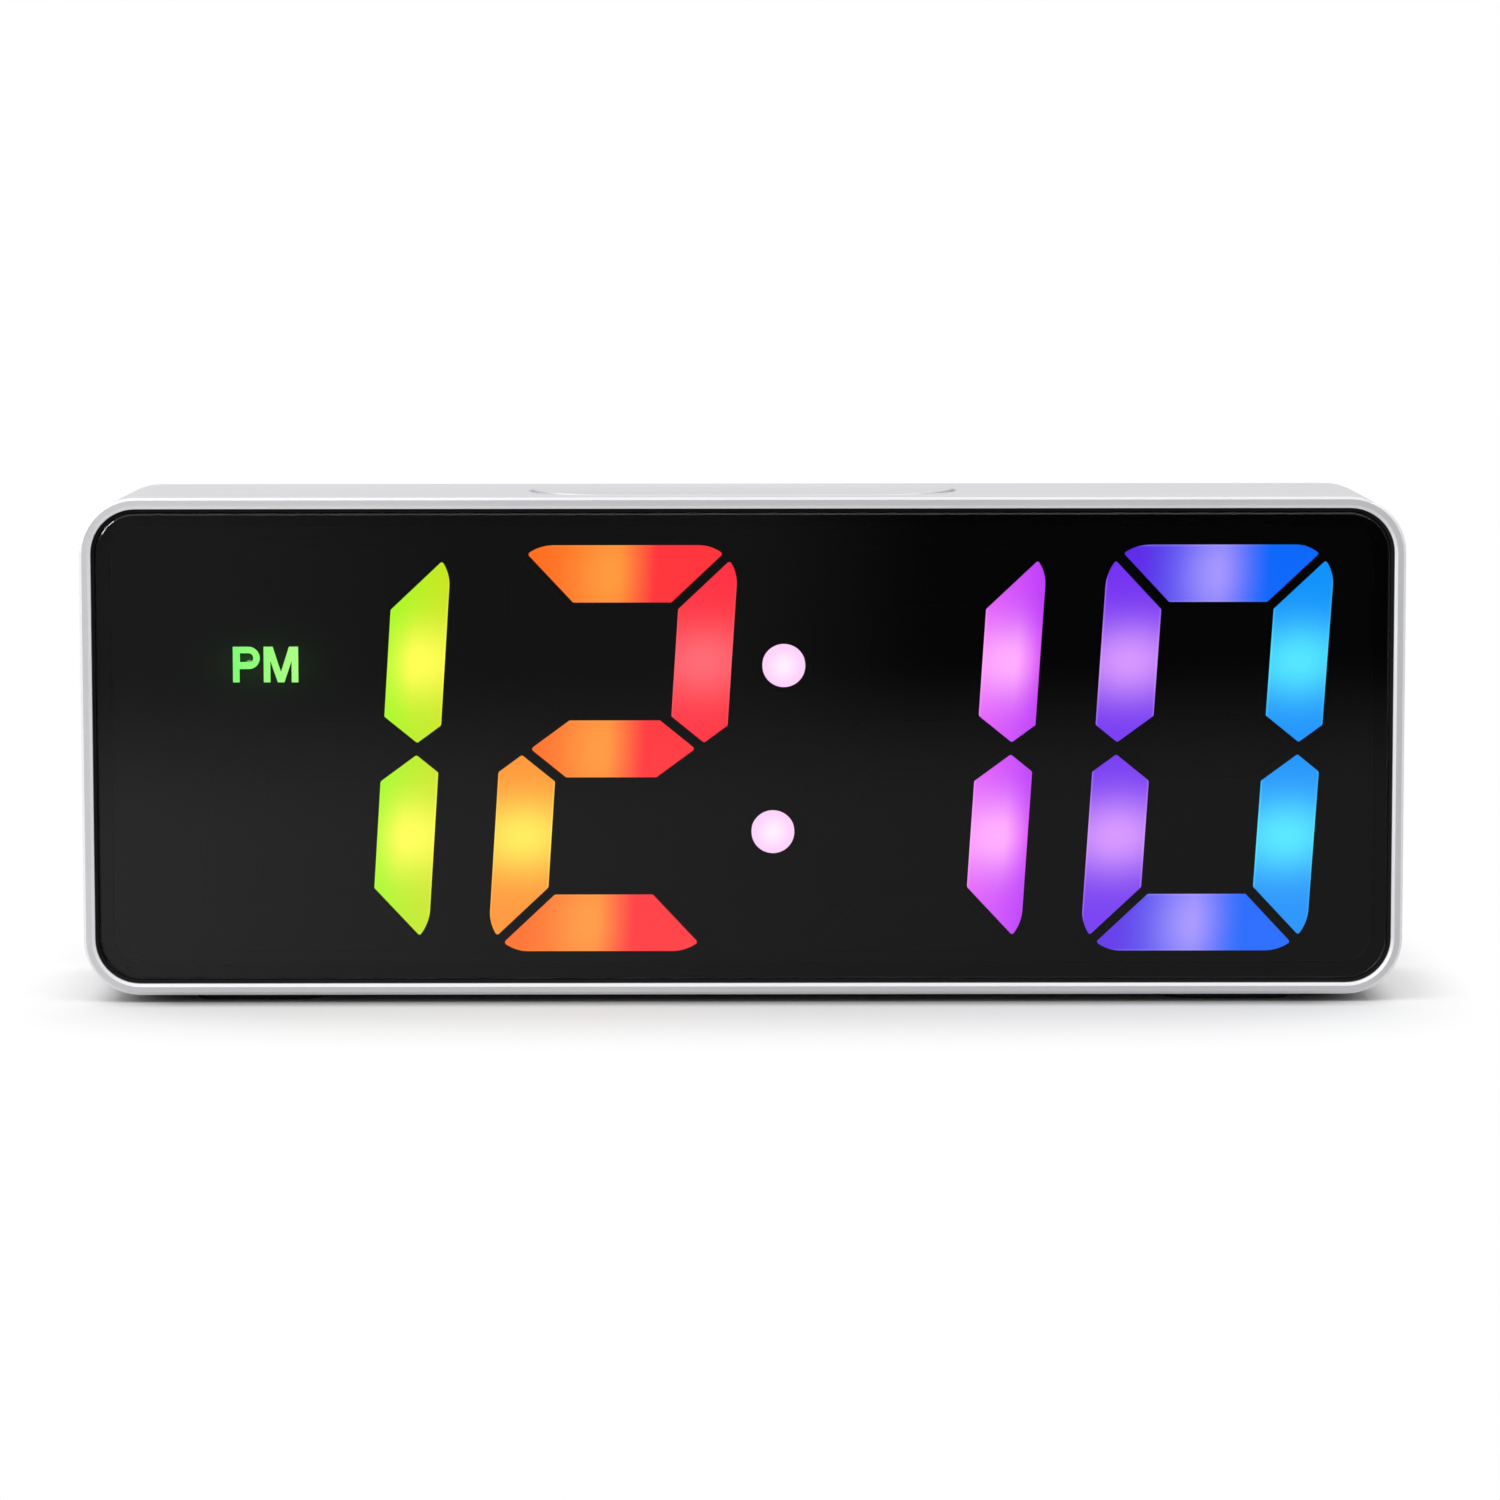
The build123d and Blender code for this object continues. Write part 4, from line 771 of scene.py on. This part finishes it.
class CLOCK_OT_rear(bpy.types.Operator):
    """Rear cover, battery tray, door and keys"""
    bl_idname = "clock.rear"
    bl_label = "Rear cover and keys"

    def execute(self, context):
        settings = context.scene.clock_finishes
        cover = moulded("spark_black", settings.cover, 0.5, SPARK_GRAIN, 25 * MICRON, gloss=0.4)
        cover.dress("rear_cover", "battery_tray", "battery_door")
        self.key(settings).dress(*(key + "_key" for key in KEYS))
        return {"FINISHED"}

    def key(self, settings):
        """Satin keys whose sunk signs are filled with paint."""
        finish = Finish("satin_key", {})
        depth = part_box("mode_key")[1].y - finish.y
        sunk = (depth > settings.sign_top) * (depth < settings.sign_floor) * (finish.facing("Y") > FLAT)
        texture = finish.noise(FINE_GRAIN)
        base = linear(settings.key)
        plain = finish.blend(texture, base, scaled(base, 1.2))
        finish.shape({
            "Base Color": finish.blend(sunk, plain, linear(settings.print_white)),
            "Roughness": 0.42 + texture * 0.1,
        })
        finish.bump(texture, 6 * MICRON)
        return finish


class CLOCK_OT_power(bpy.types.Operator):
    """Power socket, cells, springs, contacts and leads"""
    bl_idname = "clock.power"
    bl_label = "Power"

    def execute(self, context):
        settings = context.scene.clock_finishes
        nickel = plated("plated_nickel", settings.nickel, 0.18)
        nickel.dress("usb_shell", "battery_springs", "battery_contacts")
        self.tongue(settings).dress("usb_tongue")
        self.cells(settings).dress("battery_cells")
        moulded("red_insulation", settings.red_wire, 0.4, WIRE_GRAIN, 4 * MICRON).dress("positive_lead")
        moulded("black_insulation", settings.black_wire, 0.4, WIRE_GRAIN, 4 * MICRON).dress("negative_lead")
        return {"FINISHED"}

    def tongue(self, settings):
        """Black tongue with gold contacts across both faces."""
        finish = Finish("contact_tongue", {})
        low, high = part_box("usb_tongue")
        depth = high.y - finish.y
        lane = ((finish.x - low.x) / settings.contact_pitch).fraction() < settings.contact_share
        along = (depth < settings.contact_end) * (depth > settings.contact_start)
        contact = lane * along * (finish.facing("Z") > FLAT)
        scuff = finish.noise(PORE, detail=3.0)
        finish.shape({
            "Base Color": finish.blend(contact, linear(settings.resin), linear(settings.gold)),
            "Metallic": contact * 1.0,
            "Roughness": 0.35 + scuff * 0.15,
        })
        return finish

    def cells(self, settings):
        """Foil sleeves in two bands, with bare metal ends; neighbours lie end for end."""
        finish = Finish("cell_sleeve", {"Coat Weight": 0.4, "Coat Roughness": 0.1})
        low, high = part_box("battery_cells")
        middle = (low + high) / 2
        half = (high - low) / 2
        middle_cell = abs(finish.z - middle.z) < half.z / 3
        along = (finish.x - middle.x) / half.x * (1 - 2 * middle_cell)
        band = along.rise(0.44, 0.45)
        line = along.rise(0.415, 0.42) * (1 - along.rise(0.44, 0.445))
        bare = (finish.facing("X") > 0.5).at_least(along > 0.86)
        sheen = finish.noise(SHEEN_WIDTH, up=DRAW_LENGTH, deep=DRAW_LENGTH)
        colour = finish.blend(band, linear(settings.cell), linear(settings.cell_band))
        colour = finish.blend(line, colour, linear(settings.print_white))
        finish.shape({
            "Base Color": finish.blend(bare, colour, linear(settings.nickel)),
            "Metallic": (bare + band * 0.8).at_most(1.0),
            "Roughness": 0.26 + sheen * 0.14,
        })
        return finish


class CLOCK_OT_fixings(bpy.types.Operator):
    """Screws and feet"""
    bl_idname = "clock.fixings"
    bl_label = "Screws and feet"

    def execute(self, context):
        settings = context.scene.clock_finishes
        plated("zinc_screw", settings.zinc, 0.3).dress("cover_screws", "board_screws", "key_board_screws")
        moulded("foot_rubber", settings.rubber, 0.85, FINE_GRAIN, 20 * MICRON, gloss=0.25).dress("feet")
        return {"FINISHED"}


class CLOCK_OT_print(bpy.types.Operator):
    """Plain printed words beside the keys and the power socket"""
    bl_idname = "clock.print"
    bl_label = "Rear print"

    def execute(self, context):
        settings = context.scene.clock_finishes
        ink = moulded("pad_print", settings.print_white, 0.6, RESIN_GRAIN, 2 * MICRON).material
        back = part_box("battery_door")[1].y + INK
        for key in KEYS:
            low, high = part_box(key + "_key")
            place = ((low.x + high.x) / 2, back, high.z + settings.word_rise)
            words(key.upper(), settings.word_height, place, ink)
        low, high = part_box("usb_shell")
        place = ((low.x + high.x) / 2, back, low.z - settings.socket_word_drop)
        words("5V", settings.socket_word_height, place, ink)
        return {"FINISHED"}


class CLOCK_OT_stage(bpy.types.Operator):
    """White table, soft lamps and the camera"""
    bl_idname = "clock.stage"
    bl_label = "Studio"

    def execute(self, context):
        stage = context.scene.clock_stage
        context.scene.view_settings.view_transform = "Standard"
        self.table(stage)
        self.surroundings(context.scene, stage)
        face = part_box("case_shell")[0].y
        aim = Vector((stage.aim_across, face, stage.aim_height))
        self.lamp("overhead_lamp", stage.overhead_place, stage.overhead_aim, stage.overhead_size,
                  stage.overhead_power)
        self.lamp("left_lamp", stage.left_place, aim, stage.left_size, stage.left_power)
        low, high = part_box("display_window")
        corner = (low.x, low.y, high.z)
        glint = self.lamp("glint_lamp", stage.glint_place, corner, stage.glint_width, stage.glint_power)
        glint.data.shape = "RECTANGLE"
        glint.data.size_y = stage.glint_height
        glint.visible_diffuse = False
        self.camera(context.scene, stage, aim)
        return {"FINISHED"}

    def camera(self, scene, stage, aim):
        """Looks down a little at the middle of the face."""
        camera = bpy.data.objects.new("camera", bpy.data.cameras.new("camera"))
        scene.collection.objects.link(camera)
        camera.data.lens = stage.camera_lens
        camera.data.sensor_width = stage.camera_sensor
        camera.data.clip_start = stage.camera_near
        away = Vector((0.0, -math.cos(stage.camera_elevation), math.sin(stage.camera_elevation)))
        turn = Matrix.Rotation(math.pi / 2 - stage.camera_elevation, 4, "X")
        roll = Matrix.Rotation(stage.camera_roll, 4, "Z")
        camera.matrix_world = Matrix.Translation(aim + away * stage.camera_distance) @ turn @ roll
        scene.camera = camera

    def lamp(self, name, place, target, size, watts):
        """A square soft lamp that the camera doesn't see."""
        data = bpy.data.lights.new(name, "AREA")
        data.size = size
        data.energy = watts
        lamp = bpy.data.objects.new(name, data)
        lamp.location = place
        lamp.rotation_euler = (Vector(target) - Vector(place)).to_track_quat("-Z", "Y").to_euler()
        lamp.visible_camera = False
        bpy.context.scene.collection.objects.link(lamp)
        return lamp

    def table(self, stage):
        """A wide pale disc with a painted shadow under the case; far off it is plain white, and in mirror
        rays it glows with a painted studio reflection.
        """
        bpy.ops.mesh.primitive_circle_add(vertices=96, radius=stage.table_radius, fill_type="NGON")
        table = bpy.context.object
        table.name = "table"
        finish = Finish("table_top", {"Roughness": 0.9, "Specular IOR Level": 0.0})
        low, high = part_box("case_shell")
        past_side = (abs(finish.x) - high.x).at_least(0.0) * stage.shadow_sides
        past_face = (abs(finish.y) - high.y).at_least(0.0)
        away = (past_side * past_side + past_face * past_face).root()
        # Painted shadow: the table's colour is blended towards black under the case, fading out in front of
        # it and under the round corners
        contact = (1 - past_face.rise(0.0, stage.painted_shadow_reach)) * stage.painted_shadow_depth
        contact *= 1 - abs(finish.x).rise(high.x - stage.painted_shadow_corner, high.x)
        paper = finish.noise(PAPER, detail=3.0) * 0.06
        pale = finish.blend(paper, linear(stage.table), linear(stage.table_speck))
        finish.shape({"Base Color": finish.blend(contact, pale, BLACK)})
        ray = finish.add("ShaderNodeLightPath", {}, {}, "Is Camera Ray")
        mirrored = ray.part("Is Glossy Ray").at_least(ray.part("Is Transmission Ray"))
        lit = (ray * away.rise(stage.shadow_near, stage.shadow_far)).at_least(
            mirrored * away.rise(0.0, stage.mirror_start))
        # Painted reflection: for mirror rays the table glows with the studio pattern instead of its shading;
        # for the eye far off it is plain white
        strength = ray.at_least(self.studio(finish, low.y - finish.y, high.x, stage))
        glow = finish.add("ShaderNodeEmission", {}, {"Color": WHITE, "Strength": strength})
        plain = Signal(finish, finish.surface.outputs["BSDF"])
        mixed = finish.add("ShaderNodeMixShader", {}, {0: lit, 1: plain, 2: glow})
        finish.fill(finish.node_tree.nodes["Material Output"], {"Surface": mixed})
        table.data.materials.append(finish.material)

    def studio(self, finish, ahead, half_width, stage):
        """Painted reflection: light that the table gives off to mirror rays only, laid out as the near table,
        what lies past it and a bright wall farther on.
        """
        away = ahead + stage.camera_distance
        spread = finish.x / away * (stage.camera_distance / half_width) * 0.5 + 0.5
        spread = spread.at_least(0.0).at_most(1.0)
        near_light = stage.near_right + (1 - stage.near_right) * (1 - spread) ** stage.near_fall
        first_fall = spread.rise(0.0, 0.35) * (stage.far_left - stage.far_middle)
        second_fall = spread.rise(0.47, 0.66) * (stage.far_middle - stage.far_right)
        far_light = stage.far_left - first_fall - second_fall
        slope = spread * stage.reach_slope
        beyond = ahead.rise(slope + stage.reach_start, slope + stage.reach_end)
        wall = ahead.rise(stage.wall_start, stage.wall_full)
        front = ahead.rise(0.0, stage.mirror_front)
        return (near_light * (1 - beyond) + far_light * beyond).at_least(wall) * front + (1 - front)

    def surroundings(self, scene, stage):
        """White all round to the eye and in reflections, and soft ambient light."""
        scene.world = bpy.data.worlds.new("studio")
        scene.world.use_nodes = True
        tree = Tree(scene.world.node_tree)
        strength = tree.seen() * (1 - stage.ambient) + stage.ambient
        tree.fill(scene.world.node_tree.nodes["Background"], {"Color": WHITE, "Strength": strength})


DRESSING = (CLOCK_OT_case, CLOCK_OT_window, CLOCK_OT_light_box, CLOCK_OT_digits, CLOCK_OT_boards,
            CLOCK_OT_rear, CLOCK_OT_power, CLOCK_OT_fixings, CLOCK_OT_print, CLOCK_OT_stage)


class CLOCK_PT_dresser(bpy.types.Panel):
    """Lists the steps that dress the clock"""
    bl_idname = "CLOCK_PT_dresser"
    bl_label = "Desk Clock"
    bl_space_type = "VIEW_3D"
    bl_region_type = "UI"
    bl_category = "Clock"

    def draw(self, context):
        for step in DRESSING:
            self.layout.operator(step.bl_idname)


CLASSES = (ClockFinishSettings, ClockDisplaySettings, ClockStageSettings, *DRESSING, CLOCK_PT_dresser)


def register():
    for group in CLASSES:
        bpy.utils.register_class(group)
    bpy.types.Scene.clock_finishes = PointerProperty(type=ClockFinishSettings)
    bpy.types.Scene.clock_display = PointerProperty(type=ClockDisplaySettings)
    bpy.types.Scene.clock_stage = PointerProperty(type=ClockStageSettings)


def unregister():
    del bpy.types.Scene.clock_stage
    del bpy.types.Scene.clock_display
    del bpy.types.Scene.clock_finishes
    for group in reversed(CLASSES):
        bpy.utils.unregister_class(group)


def main():
    """Dresses the clock step by step."""
    register()
    bpy.ops.clock.case()
    bpy.ops.clock.window()
    bpy.ops.clock.light_box()
    bpy.ops.clock.digits()
    bpy.ops.clock.boards()
    bpy.ops.clock.rear()
    bpy.ops.clock.power()
    bpy.ops.clock.fixings()
    bpy.ops.clock.print()
    bpy.ops.clock.stage()


if __name__ == "__main__":
    main()
